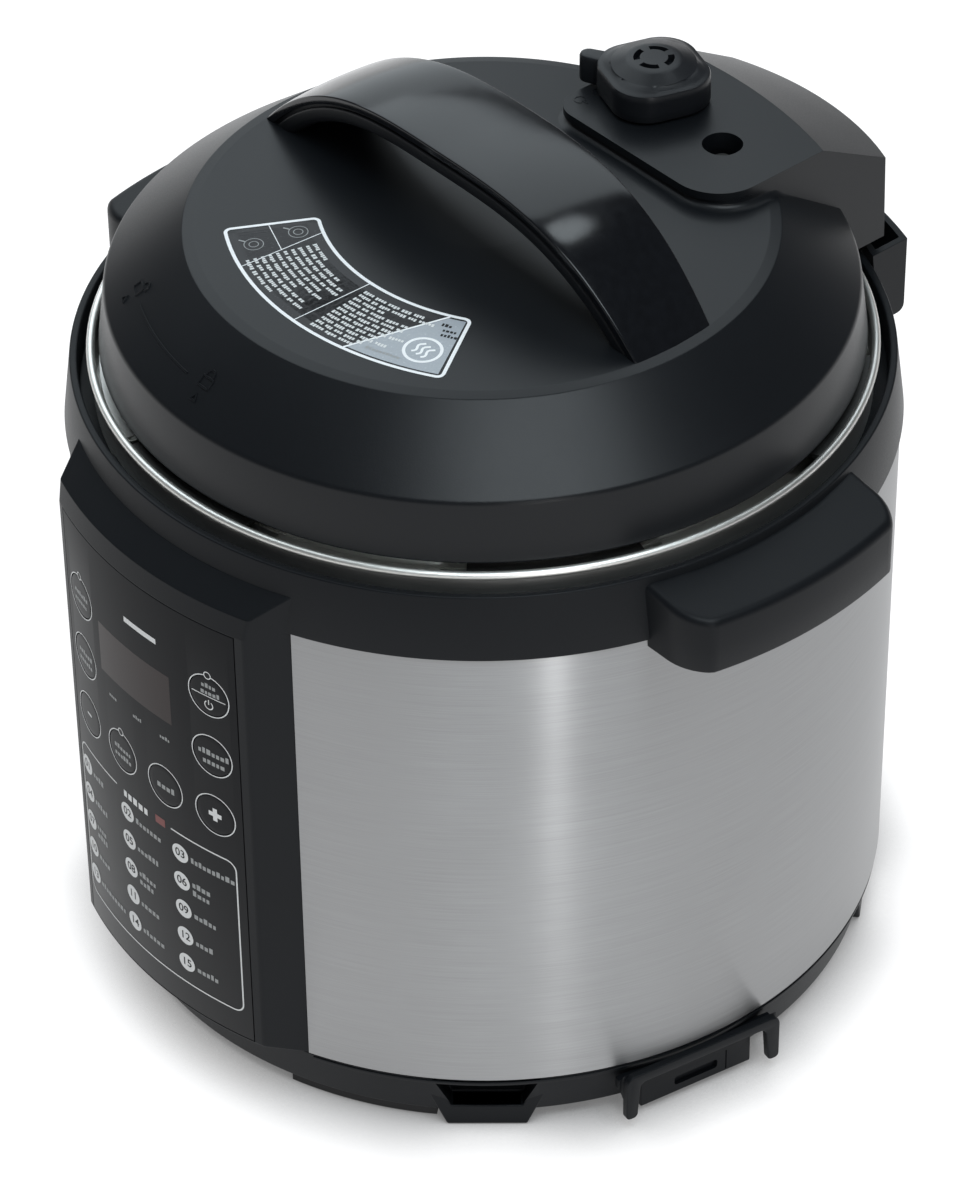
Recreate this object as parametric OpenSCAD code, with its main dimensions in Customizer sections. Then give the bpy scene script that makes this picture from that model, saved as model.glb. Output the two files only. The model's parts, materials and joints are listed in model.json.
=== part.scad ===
// Electric pressure cooker: a steel-jacketed body with a bayonet-locked lid.
// Millimetres. +Z is up, the origin is on the vessel's axis at the surface it stands on,
// the control panel faces -Y, the side handles lie along X and the steam valve is at +Y.

/* [Body] */
// Outside radius of the brushed steel jacket
jacket_r = 145; // [144:0.5:146]
// Height of the jacket's lower edge above the floor
jacket_low = 25.6; // [25:0.1:26]
// Height of the jacket's upper edge above the floor
jacket_top = 217; // [216:0.5:218]
// Sheet thickness of the jacket
jacket_t = 0.8; // [0.5:0.1:1]
// Radius of the base shell at its lower edge
base_low_r = 139.5; // [138.5:0.5:140]
// Height of the feet under the base shell
foot_h = 5.5; // [5:0.5:6]

/* [Collar and side handles] */
// Height of the collar's lip above the floor
collar_top = 241.3; // [241:0.1:242]
// Outside radius of the collar at its lip
collar_lip_r = 142.9; // [142.5:0.1:143.5]
// Radius of the side handles' outer face
handle_reach = 166.5; // [162:0.5:168]
// Half of a side handle's width along Y
handle_half_w = 47; // [44:1:48]
// Height of the side handles' top face beside the collar
handle_top = 238.5; // [238:0.5:239.5]
// Depth of a side handle from its top face down
handle_depth = 25; // [24:1:26]

/* [Pots] */
// Outside radius of the inner cooking pot
pot_r = 110.5; // [109:0.5:111]
// Height of the inner pot's floor above the ground, outside
pot_low = 72.3; // [72:0.1:73]
// Height of the top face of the outer pot's flange
flange_top = 230.5; // [230:0.1:231]
// Outside radius of the outer pot's bayonet wall
bayonet_r = 135.2; // [135:0.1:135.4]
// Number of bayonet lugs on the pot and on the lid
lug_count = 6; // [5:1:6]

/* [Control panel] */
// Radius of the printed face of the panel
face_r = 155.6; // [155:0.1:156]
// Height of the panel face's lower edge
face_low = 33; // [32:0.5:34]
// Height of the panel face's upper edge
face_high = 216; // [215:0.5:216.5]
// Radius of a key
key_r = 8.1; // [7.5:0.1:9]
// How far a key travels inwards
key_travel = 0.5; // [0.3:0.1:0.5]

/* [Lid] */
// Radius of the lid's skirt at its lower edge
skirt_r = 132.5; // [132:0.1:132.6]
// Radius of the shoulder between skirt and cone
shoulder_r = 129.7; // [129:0.1:130]
// Radius of the flat top's edge
plateau_r = 101.8; // [101:0.1:102.5]
// Height of the shoulder
shoulder_z = 269.4; // [269:0.1:270]
// Height of the flat top's edge
plateau_z = 290.6; // [290:0.1:291]
// Height of the top of the lid handle, the highest point of the cooker
overall_h = 329; // [328:0.5:330]

/* [Steam valve] */
// Height of the raised deck at the rear of the lid
deck_z = 298; // [297.5:0.1:298.5]
// Outside radius of the exhaust stem
stem_r = 4; // [3.8:0.1:4.2]
// Radius of the float pin
float_r = 3.2; // [3:0.1:3.4]

/* [Hidden] */
$fn = 96;
EPS = 0.01;
FRONT = -90;                 // direction of the control panel, degrees

black = [0.09, 0.10, 0.11];
gloss_black = [0.03, 0.03, 0.04];
steel = [0.72, 0.72, 0.72];
bright = [0.85, 0.85, 0.84];
silicone = [0.80, 0.80, 0.78];
board_green = [0.10, 0.35, 0.20];
foil = [0.60, 0.62, 0.63];
ink = [0.82, 0.82, 0.82];

wall = 3;                    // plastic wall thickness
gap = 0.3;                   // clearance between curved faces of different bodies

// base
base_floor_t = 3;
base_spigot_r = jacket_r - jacket_t - 0.2;
base_spigot_h = 6;
floor_hole_r = 118;           // opening in the base shell's floor
cover_r = 128;
cover_t = 2;
cover_z = foot_h - cover_t - 0.1;
base_screw_r = 123;
foot_angles = [-41, 41, 139, -139];
pad_angles = [-60, 60, 120, -120];
foot_half_low = 14.2;
foot_half_high = 22.5;
foot_lip_z = 9;
foot_pocket_d = 8;

// collar
collar_low_r = jacket_r + 1;
collar_lip_t = 2.7;
collar_gutter_z = 228.8;
collar_inner_r = 131;

// panel: half angles, in degrees, about the FRONT direction
overlay_t = 1.4;
overlay_half = 17.35;
window_half = 16;
ledge = 7;                   // width of the ledge above and below the window
frame_half = 27;             // the side planes trim the frame inside this sector
frame_back_y = -120;
frame_front_y = -160;
frame_back_x = 63.5;
frame_front_x = 44.2;
frame_band_z = 224.4;        // front edge of the frame's sloping top
frame_top_z = 231.3;         // where the frame's top meets the collar
frame_foot_z = 32.3;         // front edge of the frame's sloping underside
panel_cut_half = 23.4;       // the jacket is cut away behind the frame

// keys: arc position to the right of the panel's middle, and height
key_side = 35.5;             // arc distance of the outer columns
key_mid = 12;                // arc distance of the two middle keys
key_rows = [186, 159.6, 133.2];
key_pos = [
    [-key_side, key_rows[0]], [-key_side, key_rows[1]], [-key_side, key_rows[2]],
    [-key_mid, key_rows[2]], [key_mid, key_rows[2]],
    [key_side, key_rows[0]], [key_side, key_rows[1]], [key_side, key_rows[2]]
];
function key_angle(i) = FRONT + key_pos[i][0] / face_r * 180 / PI;
plunger_h = 0.7;             // a key's plunger behind the overlay
membrane_r = face_r - overlay_t - plunger_h - key_travel - 0.8;
display_w = 47;
display_h = 27;
display_z = 171;

// pots
pot_t = 1.5;
pot_flange_r = 118.5;
pot_top = flange_top + 0.4;
outer_r = 115;
outer_low = 54;
plate_low = 58;
plate_r = 92;
sensor_r = 10;
sensor_top = pot_low - 0.2;
sensor_bracket_z = 48;

// bayonet
lug_w = 26;                  // width of a lug, degrees
lug_pitch = 360 / lug_count;
pot_lug_r = 126.5;
pot_lug_z = 241.2;
lug_t = 2;
bead_r = 1.5;
bead_z = 244.4;

// lid
lid_plate_t = 1.5;
lid_plate_z = 258;           // underside of the lid plate
lid_wall_r = 125;
lid_lug_r = 132.6;
lid_lug_z = 237.2;
skirt_z = 246.8;
crown_r = plateau_r - 4;     // the flat top rises gently inside this radius
crown_low_z = plateau_z + 0.6;
crown_high_z = 292.5;        // height at radius 50
crown_z = 293;               // height of the crowned top at its middle
grip_screw_x = 90;
grip_screw_top = 293.5;
// Centre of the label's arcs
label_x = 3.5;
label_y = 21.5;
// Inner and outer radius of the label's arcs
label_in_r = 75;
label_out_r = 107.5;
// Middle and half of the label's angle in degrees
label_mid = -89.6;
label_half = 32;
// Radius that takes in the whole hollow of the valve deck
hollow_reach = 152;
slider_z = 267;
slider_half_w = 9;

// rear deck
deck_x0 = -30;
deck_x1 = 54;
deck_y0 = 57.6;
deck_left_r = 10;            // corner radii of the deck's front edge
deck_right_r = 18;
deck_back_x = 8;             // axis of the deck's turned slope and back wall
deck_back_y = 30;
deck_slope_r0 = 88.5;
deck_slope_r1 = 118;
deck_slope_z1 = 281.5;
deck_low_z = 248;
deck_reach = 119;

// valve
knob_x = -10;
knob_y = 87.4;
float_x = 28;
float_y = 85;
float_travel = 4.5;
seal_top = lid_plate_z - float_travel - 0.3;
knob_low = deck_z + 1;
knob_side_h = 11;
knob_top = deck_z + 16;

// lid handle
grip_half_w = 20;
grip_tip_x = 98;
grip_gloss_t = 4;
grip_rise = 38;
grip_plan_r = 1370;          // the handle's long edges are this gently curved

// dew collector
dew_r0 = 147.2;
dew_top_r0 = 144.2;          // the inner wall leans in beside the collar
dew_r1 = 160;
dew_t = 2.5;
dew_half_w = 55.5;
dew_low = 212;
dew_top = 243;
dew_notch_half = 14;

// ladle holder
holder_angle = -10;
holder_bar_r = 146;
holder_bar_t = 3;
holder_half = 32;

// side handle screws
handle_screw_angles = [-9, 9, 171, 189];
handle_screw_z = 221;

// A solid of revolution about the vessel's axis from [radius, height] points
module turned(points) { rotate_extrude() polygon(points); }

// A ring with square edges
module ring(r0, r1, z0, z1) {
    turned([[r0, z0], [r1, z0], [r1, z1], [r0, z1]]);
}

// The part of a turned profile between two directions
module turned_arc(points, mid, half) {
    rotate([0, 0, mid - half])
        rotate_extrude(angle = 2 * half)
            polygon(points);
}

module arc_ring(r0, r1, z0, z1, mid, half) {
    turned_arc([[r0, z0], [r1, z0], [r1, z1], [r0, z1]], mid, half);
}

// A cylinder that points outwards from the vessel's axis
module radial_rod(direction, z, r0, r1, r) {
    rotate([0, 0, direction])
        translate([r0, 0, z])
            rotate([0, 90, 0])
                cylinder(r = r, h = r1 - r0);
}

// A rectangle with round corners, centred on the origin
module rounded_rect(w, d, r) {
    square([w - 2 * r, d], center = true);
    square([w, d - 2 * r], center = true);
    for (sx = [-1, 1], sy = [-1, 1])
        translate([sx * (w / 2 - r), sy * (d / 2 - r)])
            circle(r = r);
}

module post(x, y, z0, z1, r) {
    translate([x, y, z0])
        cylinder(r = r, h = z1 - z0);
}

// ---------- body ----------

// Flared block that stands on the floor below the base shell
module foot_block(direction) {
    rotate([0, 0, direction])
        translate([cover_r + 0.5, 0, 0])
            rotate([90, 0, 90])
                linear_extrude(height = base_low_r + 1 - cover_r - 0.5)
                    polygon([[-foot_half_low, 0], [foot_half_low, 0],
                             [foot_half_high, 20], [-foot_half_high, 20]]);
}

// Pocket above the lip of a foot block
module foot_pocket(direction) {
    rotate([0, 0, direction])
        translate([base_low_r + 1.5 - foot_pocket_d, 0, foot_lip_z])
            rotate([90, 0, 90])
                linear_extrude(height = 2 * foot_pocket_d)
                    polygon([[-foot_half_low + 1, 0], [foot_half_low - 1, 0],
                             [foot_half_high - 2, 18], [-foot_half_high + 2, 18]]);
}

module base_shell() {
    color(black) {
        difference() {
            union() {
                turned([
                    [floor_hole_r, foot_h], [base_low_r, foot_h], [jacket_r - 0.5, jacket_low - 0.6],
                    [base_spigot_r, jacket_low - 0.6], [base_spigot_r, jacket_low + base_spigot_h],
                    [base_spigot_r - wall, jacket_low + base_spigot_h],
                    [base_spigot_r - wall, jacket_low - 3.5],
                    [base_low_r - wall - 8, foot_h + base_floor_t],
                    [floor_hole_r, foot_h + base_floor_t]
                ]);
                for (a = foot_angles) foot_block(a);
            }
            for (a = foot_angles) foot_pocket(a);
            for (a = pad_angles) base_screw_hole(a);
            holder_seat();
            // the panel frame stands here instead of the jacket
            arc_ring(135, 150, jacket_low - 0.5, jacket_low + 20, FRONT, panel_cut_half);
        }
    }
}

// Hole for one base screw
module base_screw_hole(direction) {
    rotate([0, 0, direction])
        translate([base_screw_r, 0, 0])
            cylinder(r = 1.7, h = 20);
}

// Flat recess in the base shell behind the ladle holder
module holder_seat() {
    rotate([0, 0, holder_angle]) {
        translate([holder_bar_r - 5.5, -24, 0])
            cube([10, 48, 15.2]);
        translate([holder_bar_r - 5.5, -holder_half - 0.5, 14.8])
            cube([10, 2 * holder_half + 1, 5.4]);
    }
}

module bottom_cover() {
    color(black)
        difference() {
            union() {
                ring(0, cover_r, cover_z, cover_z + cover_t);
                // standoffs that carry the power board
                for (x = [-54, 54], y = [-90, -36]) post(x, y, cover_z + 1, 12.9, 3);
            }
            for (i = [0:11])
                rotate([0, 0, 30 * i + 15])
                    translate([80, 0, cover_z])
                        cube([30, 4, 6], center = true);
            for (a = pad_angles) base_screw_hole(a);
        }
}

module foot_pads() {
    color(gloss_black)
        for (a = pad_angles) arc_ring(130.5, 137.2, 0, foot_h, a, 11.5);
}

module base_screws() {
    color(steel)
        for (a = pad_angles)
            rotate([0, 0, a]) {
                post(base_screw_r, 0, cover_z - 1.7, foot_h + 9, 1.6);
                post(base_screw_r, 0, cover_z - 1.7, cover_z - 0.1, 3);
            }
}

module steel_jacket() {
    color(steel)
        difference() {
            ring(jacket_r - jacket_t, jacket_r, jacket_low, jacket_top);
            arc_ring(140, 150, 20, 225, FRONT, panel_cut_half);
            translate([-21.5, 130, 33])
                cube([43, 30, 30]);
        }
}

module collar() {
    color(black)
        difference() {
            turned([
                [collar_low_r, jacket_top], [collar_lip_r, collar_top],
                [collar_lip_r - collar_lip_t, collar_top],
                [collar_lip_r - collar_lip_t, collar_gutter_z],
                [collar_inner_r, collar_gutter_z], [collar_inner_r, collar_gutter_z - 2],
                [jacket_r - jacket_t - 2.5, collar_gutter_z - 2],
                [jacket_r - jacket_t - 2.5, jacket_top - 6],
                [jacket_r - jacket_t - 0.2, jacket_top - 6],
                [jacket_r - jacket_t - 0.2, jacket_top]
            ]);
            // drain slot that feeds the dew collector
            translate([-6, 138, collar_gutter_z])
                cube([12, 12, 6]);
            arc_ring(100, 150, jacket_top - 7, jacket_top - 0.1, FRONT, panel_cut_half);
            for (a = handle_screw_angles) radial_rod(a, handle_screw_z, 130, 150, 1.7);
        }
}

// Side handle on +X; it is hollow underneath so that fingers hold its outer wall
module side_handle() {
    wall_t = 4;
    roof_t = 6.5;
    corner_r = 20;
    drop = 4;                // the top face falls this much towards its outer edge
    root_r = collar_low_r + 3;
    low = handle_top - handle_depth;
    difference() {
        intersection() {
            translate([0, 0, low])
                linear_extrude(height = handle_depth)
                    intersection() {
                        translate([handle_reach - 30, 0])
                            rounded_rect(60, 2 * handle_half_w, corner_r);
                        circle(r = handle_reach);
                    }
            turned([[0, low], [handle_reach + 1, low], [handle_reach + 1, handle_top - drop],
                    [collar_lip_r, handle_top], [0, handle_top]]);
        }
        // finger hollow, open below
        translate([0, 0, low - 1])
            linear_extrude(height = handle_depth - roof_t + 1)
                difference() {
                    intersection() {
                        translate([handle_reach - 30, 0])
                            rounded_rect(60 - 2 * wall_t, 2 * (handle_half_w - wall_t),
                                         corner_r - wall_t);
                        circle(r = handle_reach - wall_t);
                    }
                    circle(r = root_r);
                }
        // the collar and jacket lie inside
        turned([[0, 200], [collar_low_r + 0.1, 200], [collar_low_r + 0.1, jacket_top],
                [collar_lip_r + 0.1, collar_top], [0, collar_top]]);
        for (a = handle_screw_angles) radial_rod(a, handle_screw_z, 130, root_r - 0.4, 1.7);
    }
}

module side_handle_right() { color(black) side_handle(); }

module side_handle_left() { color(black) mirror([1, 0, 0]) side_handle(); }

module handle_screws() {
    wall_in_r = jacket_r - jacket_t - 2.5;
    color(steel)
        for (a = handle_screw_angles) {
            radial_rod(a, handle_screw_z, wall_in_r - 2.2, wall_in_r - 0.1, 3.2);
            radial_rod(a, handle_screw_z, wall_in_r - 0.2, collar_low_r + 2.5, 1.6);
        }
}

// Clip that plugs into the base: a bar on two arms, with legs, in front of a seat plate
module ladle_holder() {
    seat_x = holder_bar_r - 5.3;
    seat_t = 3.2;
    leg_w = 6;
    arm_w = 3;
    bar_z = 20.5;
    bar_h = 4;
    color(black)
        rotate([0, 0, holder_angle]) {
            difference() {
                translate([seat_x, -23, 3])
                    cube([seat_t, 46, 12.1]);
                translate([seat_x - 1, -9, 6.5])
                    cube([8, 18, 4]);
            }
            translate([seat_x, -holder_half, 15])
                cube([seat_t, 2 * holder_half, 5]);
            for (y = [-holder_half, holder_half - arm_w])
                translate([seat_x + seat_t - 0.1, y, 16])
                    cube([holder_bar_r - seat_x - seat_t + 0.2, arm_w, bar_z + bar_h - 16]);
            translate([holder_bar_r, -holder_half, bar_z])
                cube([holder_bar_t, 2 * holder_half, bar_h]);
            for (y = [-holder_half, holder_half - leg_w])
                translate([holder_bar_r, y, 2])
                    cube([holder_bar_t, leg_w, bar_z - 1.9]);
        }
}

module mains_inlet() {
    color(black)
        difference() {
            union() {
                difference() {
                    translate([-24, 140, 30])
                        cube([48, 8, 36]);
                    cylinder(r = jacket_r + 0.1, h = 100);
                }
                translate([-21, 128.5, 33.5])
                    cube([42, 18, 29]);
            }
            translate([-13.5, 131, 39])
                cube([27, 25, 19]);
        }
    color(steel)
        for (p = [[-7, 46], [0, 50], [7, 46]])
            translate([p[0] - 1, 130, p[1] - 2])
                cube([2, 14, 4]);
}

module heat_shield() { color(foil) ring(126.4, 127, foot_h + base_floor_t + 0.1, collar_gutter_z - 2.2); }

module outer_pot() {
    color(bright) {
        difference() {
            union() {
                turned([
                    [22, outer_low], [outer_r - 10, outer_low], [outer_r, outer_low + 10],
                    [outer_r, flange_top - 1.5], [bayonet_r, flange_top - 1.5],
                    [bayonet_r, bead_z], [bayonet_r - 1.2, bead_z],
                    [bayonet_r - 1.2, flange_top], [outer_r - pot_t, flange_top],
                    [outer_r - pot_t, outer_low + 10.6], [outer_r - 10.6, outer_low + pot_t],
                    [22, outer_low + pot_t]
                ]);
                rotate_extrude()
                    translate([bayonet_r + 0.2, bead_z])
                        circle(r = bead_r, $fn = 24);
            }
        }
        for (i = [0:lug_count - 1])
            arc_ring(pot_lug_r, bayonet_r - 1, pot_lug_z, pot_lug_z + lug_t,
                     lug_pitch * (i + 0.5), lug_w / 2);
    }
}

module heating_plate() {
    color(foil)
        difference() {
            union() {
                ring(sensor_r + 2, plate_r, plate_low, pot_low - 0.3);
                for (a = [0, 120, 240])
                    rotate([0, 0, a]) post(60, 0, outer_low + pot_t, plate_low + 1, 5);
            }
        }
}

module temperature_sensor() {
    color(bright) {
        post(0, 0, 62, sensor_top, sensor_r);
        post(0, 0, 45, 62.5, 3);
    }
}

// Compression spring as one tube swept along a helix
module sensor_spring() {
    coil_r = 5.5;
    wire_r = 0.7;
    turns = 4;
    steps = 64;
    sides = 8;
    low = sensor_bracket_z + wire_r + 0.1;
    high = 62 - wire_r - 0.1;
    ring_points = [
        for (i = [0:steps], k = [0:sides - 1])
            let (a = 360 * turns * i / steps, b = 360 * k / sides, r = coil_r + wire_r * cos(b))
                [r * cos(a), r * sin(a), low + (high - low) * i / steps + wire_r * sin(b)]
    ];
    skin = [
        for (i = [0:steps - 1], k = [0:sides - 1])
            let (n = (k + 1) % sides)
                [i * sides + k, i * sides + n, (i + 1) * sides + n, (i + 1) * sides + k]
    ];
    ends = [[for (k = [sides - 1:-1:0]) k], [for (k = [0:sides - 1]) steps * sides + k]];
    color(steel) polyhedron(points = ring_points, faces = concat(skin, ends));
}

// Strip under the outer pot that the sensor's spring stands on
module sensor_bracket() {
    color(steel)
        difference() {
            union() {
                translate([-32, -9, sensor_bracket_z - 2])
                    cube([64, 18, 2]);
                for (x = [-32, 26])
                    translate([x, -9, sensor_bracket_z - 1])
                        cube([6, 18, outer_low - sensor_bracket_z + 0.9]);
            }
            post(0, 0, 40, 60, 3.4);
        }
}

module thermal_fuse() {
    color(ink)
        translate([70, 0, outer_low - 5.2])
            rotate([0, 90, 90])
                cylinder(r = 4.5, h = 24, center = true);
}

// Micro switch under the outer pot; it feels the pot being pressed down
module pressure_switch() {
    color(gloss_black)
        translate([38, -4, outer_low - 12.1])
            cube([20, 8, 12]);
    color(steel)
        for (x = [42, 52])
            translate([x, -1, outer_low - 17])
                cube([1, 2, 5]);
}

module power_board() {
    color(board_green)
        translate([-60, -96, 13])
            cube([120, 66, 1.6]);
    color(gloss_black) {
        translate([-52, -88, 14.8])
            cube([34, 28, 22]);
        translate([28, -84, 14.8])
            cube([19, 15, 16]);
    }
    color(ink)
        for (x = [-6, 10]) post(x, -50, 14.8, 30, 6);
}

// ---------- control panel ----------

// Plan of the frame between its two side faces
module frame_plan() {
    polygon([[-frame_back_x, frame_back_y], [frame_back_x, frame_back_y],
             [frame_front_x, frame_front_y], [-frame_front_x, frame_front_y]]);
}

module panel_frame() {
    color(black)
        difference() {
            intersection() {
                turned_arc([
                    [142, jacket_low + 0.2], [jacket_r + 0.1, jacket_low + 0.2],
                    [face_r, frame_foot_z], [face_r, face_high + 0.5],
                    [face_r - 1.4, frame_band_z], [collar_lip_r + 1.5, frame_top_z],
                    [collar_low_r + 0.2, jacket_top], [142, jacket_top - 0.3]
                ], FRONT, frame_half);
                translate([0, 0, 10])
                    linear_extrude(height = 230)
                        frame_plan();
            }
            arc_ring(face_r - overlay_t - 0.1, face_r + 5, face_low - 0.2, face_high + 0.2,
                     FRONT, overlay_half + 0.1);
            arc_ring(135, face_r, face_low + ledge, face_high - ledge, FRONT, window_half);
            // room behind the keys
            for (i = [0:len(key_pos) - 1])
                radial_rod(key_angle(i), key_pos[i][1], 152.5, 160, key_r + 1);
            // room for the edges of the jacket, the collar and the base shell
            for (side = [-1, 1])
                arc_ring(130, jacket_r + 0.1, 10, collar_top, FRONT + side * (panel_cut_half + 3.8), 4);
        }
}

module panel_overlay() {
    color(gloss_black)
        difference() {
            arc_ring(face_r - overlay_t, face_r, face_low, face_high, FRONT, overlay_half);
            for (i = [0:len(key_pos) - 1])
                radial_rod(key_angle(i), key_pos[i][1], 145, 165, key_r + gap);
        }
}

// Key cap with the short plunger that presses the membrane
module key(i) {
    color(gloss_black) {
        intersection() {
            arc_ring(face_r - overlay_t, face_r, key_pos[i][1] - 2 * key_r,
                     key_pos[i][1] + 2 * key_r, key_angle(i), 8);
            radial_rod(key_angle(i), key_pos[i][1], 145, 165, key_r);
        }
        radial_rod(key_angle(i), key_pos[i][1], face_r - overlay_t - plunger_h,
                   face_r - overlay_t + 0.5, 3);
    }
}

module key_1() { key(0); }
module key_2() { key(1); }
module key_3() { key(2); }
module key_4() { key(3); }
module key_5() { key(4); }
module key_6() { key(5); }
module key_7() { key(6); }
module key_8() { key(7); }

module key_membrane() {
    color(ink)
        difference() {
            arc_ring(membrane_r - 1, membrane_r, face_low + ledge + 1, face_high - ledge - 1, FRONT,
                     window_half - 0.4);
            translate([-display_w / 2 - 1, -165, display_z - display_h / 2 - 1])
                cube([display_w + 2, 25, display_h + 2]);
        }
}

module display_module() {
    color(gloss_black)
        translate([-display_w / 2, -150.5, display_z - display_h / 2])
            cube([display_w, 8, display_h]);
}

module control_board() {
    color(board_green)
        translate([-38, -141.5, 48])
            cube([76, 1.6, 152]);
    color(gloss_black)
        translate([-10, -139.8, 90])
            cube([20, 3, 20]);
}

// ---------- dew collector ----------

// The cup's form between its end walls, which stand square to X
module dew_form(points, half_w) {
    intersection() {
        turned_arc(points, 90, 26);
        translate([-half_w, 120, dew_low - 1])
            cube([2 * half_w, 50, dew_top - dew_low + 3]);
    }
}

module dew_collector() {
    color(gloss_black)
        difference() {
            dew_form([
                [dew_r0, dew_low], [dew_r1, dew_low], [dew_r1, dew_top], [dew_top_r0, dew_top],
                [dew_r0, jacket_top]
            ], dew_half_w);
            dew_form([
                [dew_r0 + dew_t, dew_low + dew_t], [dew_r1 - dew_t, dew_low + dew_t],
                [dew_r1 - dew_t, dew_top + 1], [dew_top_r0 + dew_t, dew_top + 1],
                [dew_top_r0 + dew_t, dew_top], [dew_r0 + dew_t, jacket_top + 0.6]
            ], dew_half_w - dew_t);
            // finger notch in the outer wall
            arc_ring(dew_r1 - dew_t - 1, dew_r1 + 1, dew_top - 10, dew_top + 1, 90, dew_notch_half);
        }
}

// ---------- inner pot and seal ----------

module inner_pot() {
    color(bright)
        turned([
            [0, pot_low], [pot_r - 12, pot_low], [pot_r - 4, pot_low + 3.5], [pot_r, pot_low + 12],
            [pot_r, pot_top], [pot_flange_r, pot_top], [pot_flange_r, pot_top + pot_t],
            [pot_r - pot_t, pot_top + pot_t], [pot_r - pot_t, pot_low + 12.4],
            [pot_r - 5.2, pot_low + 4.8], [pot_r - 12.4, pot_low + pot_t], [0, pot_low + pot_t]
        ]);
}

module sealing_ring() {
    low = pot_top + pot_t + 0.3;
    color(silicone)
        turned([
            [113.5, low + 1], [119, low], [121.8, low + 3], [121.8, low + 9], [118.5, low + 9],
            [118.5, low + 4.5], [113.5, low + 4.5]
        ]);
}

module seal_rack() {
    low = pot_top + pot_t + 5;
    color(steel)
        turned([[101, low], [118.2, low], [118.2, low + 1.2], [101, low + 1.2]]);
}

// ---------- lid ----------

// Plan of the deck, moved in by inset
module deck_plan(inset) {
    left_r = deck_left_r - inset;
    right_r = deck_right_r - inset;
    low = deck_y0 + inset;
    translate([deck_x0 + inset + left_r, low + left_r])
        circle(r = left_r);
    translate([deck_x1 - inset - right_r, low + right_r])
        circle(r = right_r);
    translate([deck_x0 + inset + left_r, low])
        square([deck_x1 - deck_x0 - 2 * inset - left_r - right_r, 120]);
    translate([deck_x0 + inset, low + left_r])
        square([deck_x1 - deck_x0 - 2 * inset - right_r, 110]);
    translate([deck_x0 + inset + left_r, low + right_r])
        square([deck_x1 - deck_x0 - 2 * inset - left_r, 102]);
}

// The raised deck and the block behind it, as a solid
module deck_block(inset) {
    intersection() {
        translate([0, 0, 240])
            linear_extrude(height = 70)
                deck_plan(inset);
        translate([deck_back_x, deck_back_y, 0])
            turned([
                [0, deck_low_z + inset], [deck_reach - inset, deck_low_z + inset],
                [deck_slope_r1 - inset, deck_slope_z1 - inset],
                [deck_slope_r0 - inset, deck_z - inset], [0, deck_z - inset]
            ]);
    }
}

// Outer form of the turned cover down to the skirt, moved in by inset
module cover_form(inset) {
    turned([
        [0, skirt_z], [skirt_r - inset, skirt_z], [shoulder_r - inset, shoulder_z - inset / 2],
        [plateau_r - inset / 2, plateau_z - inset], [crown_r, crown_low_z - inset],
        [50, crown_high_z - inset], [20, crown_z - inset], [0, crown_z - inset]
    ]);
}

module lid_cover() {
    color(black)
        difference() {
            union() {
                difference() {
                    cover_form(0);
                    translate([0, 0, -EPS]) cover_form(wall);
                }
                deck_block(0);
                for (x = [-grip_screw_x, grip_screw_x])
                    post(x, 0, lid_plate_z + lid_plate_t + 0.2, crown_low_z - 1, 5);
            }
            difference() {
                translate([0, 0, -EPS]) cover_form(wall);
                post(-grip_screw_x, 0, 240, 300, 5);
                post(grip_screw_x, 0, 240, 300, 5);
            }
            intersection() {
                deck_block(wall);
                turned([[0, 250], [hollow_reach, 250], [hollow_reach, deck_z - wall], [0, deck_z - wall]]);
            }
            post(knob_x, knob_y, 270, 310, 7);
            post(float_x, float_y, 270, 310, 7);
            for (x = [-grip_screw_x, grip_screw_x]) post(x, 0, 240, 300, 2.1);
        }
}

module lid_plate() {
    color(bright)
        difference() {
            union() {
                turned([
                    [0, lid_plate_z], [104, lid_plate_z], [lid_wall_r - lid_plate_t, 250],
                    [lid_wall_r - lid_plate_t, lid_lug_z], [lid_wall_r + 0.8, lid_lug_z],
                    [lid_wall_r + 0.8, lid_lug_z + lug_t], [lid_wall_r, lid_lug_z + lug_t],
                    [lid_wall_r, 250.8], [104.6, lid_plate_z + lid_plate_t],
                    [0, lid_plate_z + lid_plate_t]
                ]);
                for (i = [0:lug_count - 1])
                    arc_ring(lid_wall_r - 1, lid_lug_r, lid_lug_z, lid_lug_z + lug_t,
                             lug_pitch * i, lug_w / 2);
                // guides of the lock slider
                for (x = [float_x - slider_half_w - 1.4, float_x + slider_half_w + 0.2])
                    translate([x, float_y - 10, lid_plate_z + 1])
                        cube([1.2, 20, slider_z + 4 - lid_plate_z - 1]);
            }
            post(knob_x, knob_y, 250, 270, stem_r + 0.1);
            post(float_x, float_y, 250, 270, float_r + 0.08);
            for (x = [-grip_screw_x, grip_screw_x]) post(x, 0, 250, 270, 2.1);
        }
}

module lid_screws() {
    color(steel)
        for (x = [-grip_screw_x, grip_screw_x]) {
            post(x, 0, lid_plate_z - 2.2, lid_plate_z - 0.1, 4);
            post(x, 0, lid_plate_z - 0.2, grip_screw_top, 2);
        }
}

// Height of the handle's outer curve at a distance from its middle
function arch(x, top) = top - grip_rise * pow(abs(x) / grip_tip_x, 3);

// Arched strip, narrower towards its tips
module arch_plate(z_top, thick, half_w, reach) {
    n = 16;
    outer = [for (i = [-n:n]) [reach * i / n, arch(reach * i / n, z_top)]];
    inner = [for (i = [n:-1:-n]) [reach * i / n, arch(reach * i / n, z_top - thick)]];
    intersection() {
        translate([0, half_w, 0])
            rotate([90, 0, 0])
                linear_extrude(height = 2 * half_w)
                    polygon(concat(outer, inner));
        translate([0, 0, crown_low_z - 20])
            linear_extrude(height = 80)
                intersection_for (side = [-1, 1])
                    translate([0, side * (grip_plan_r - half_w)])
                        circle(r = grip_plan_r, $fn = 360);
    }
}

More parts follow.
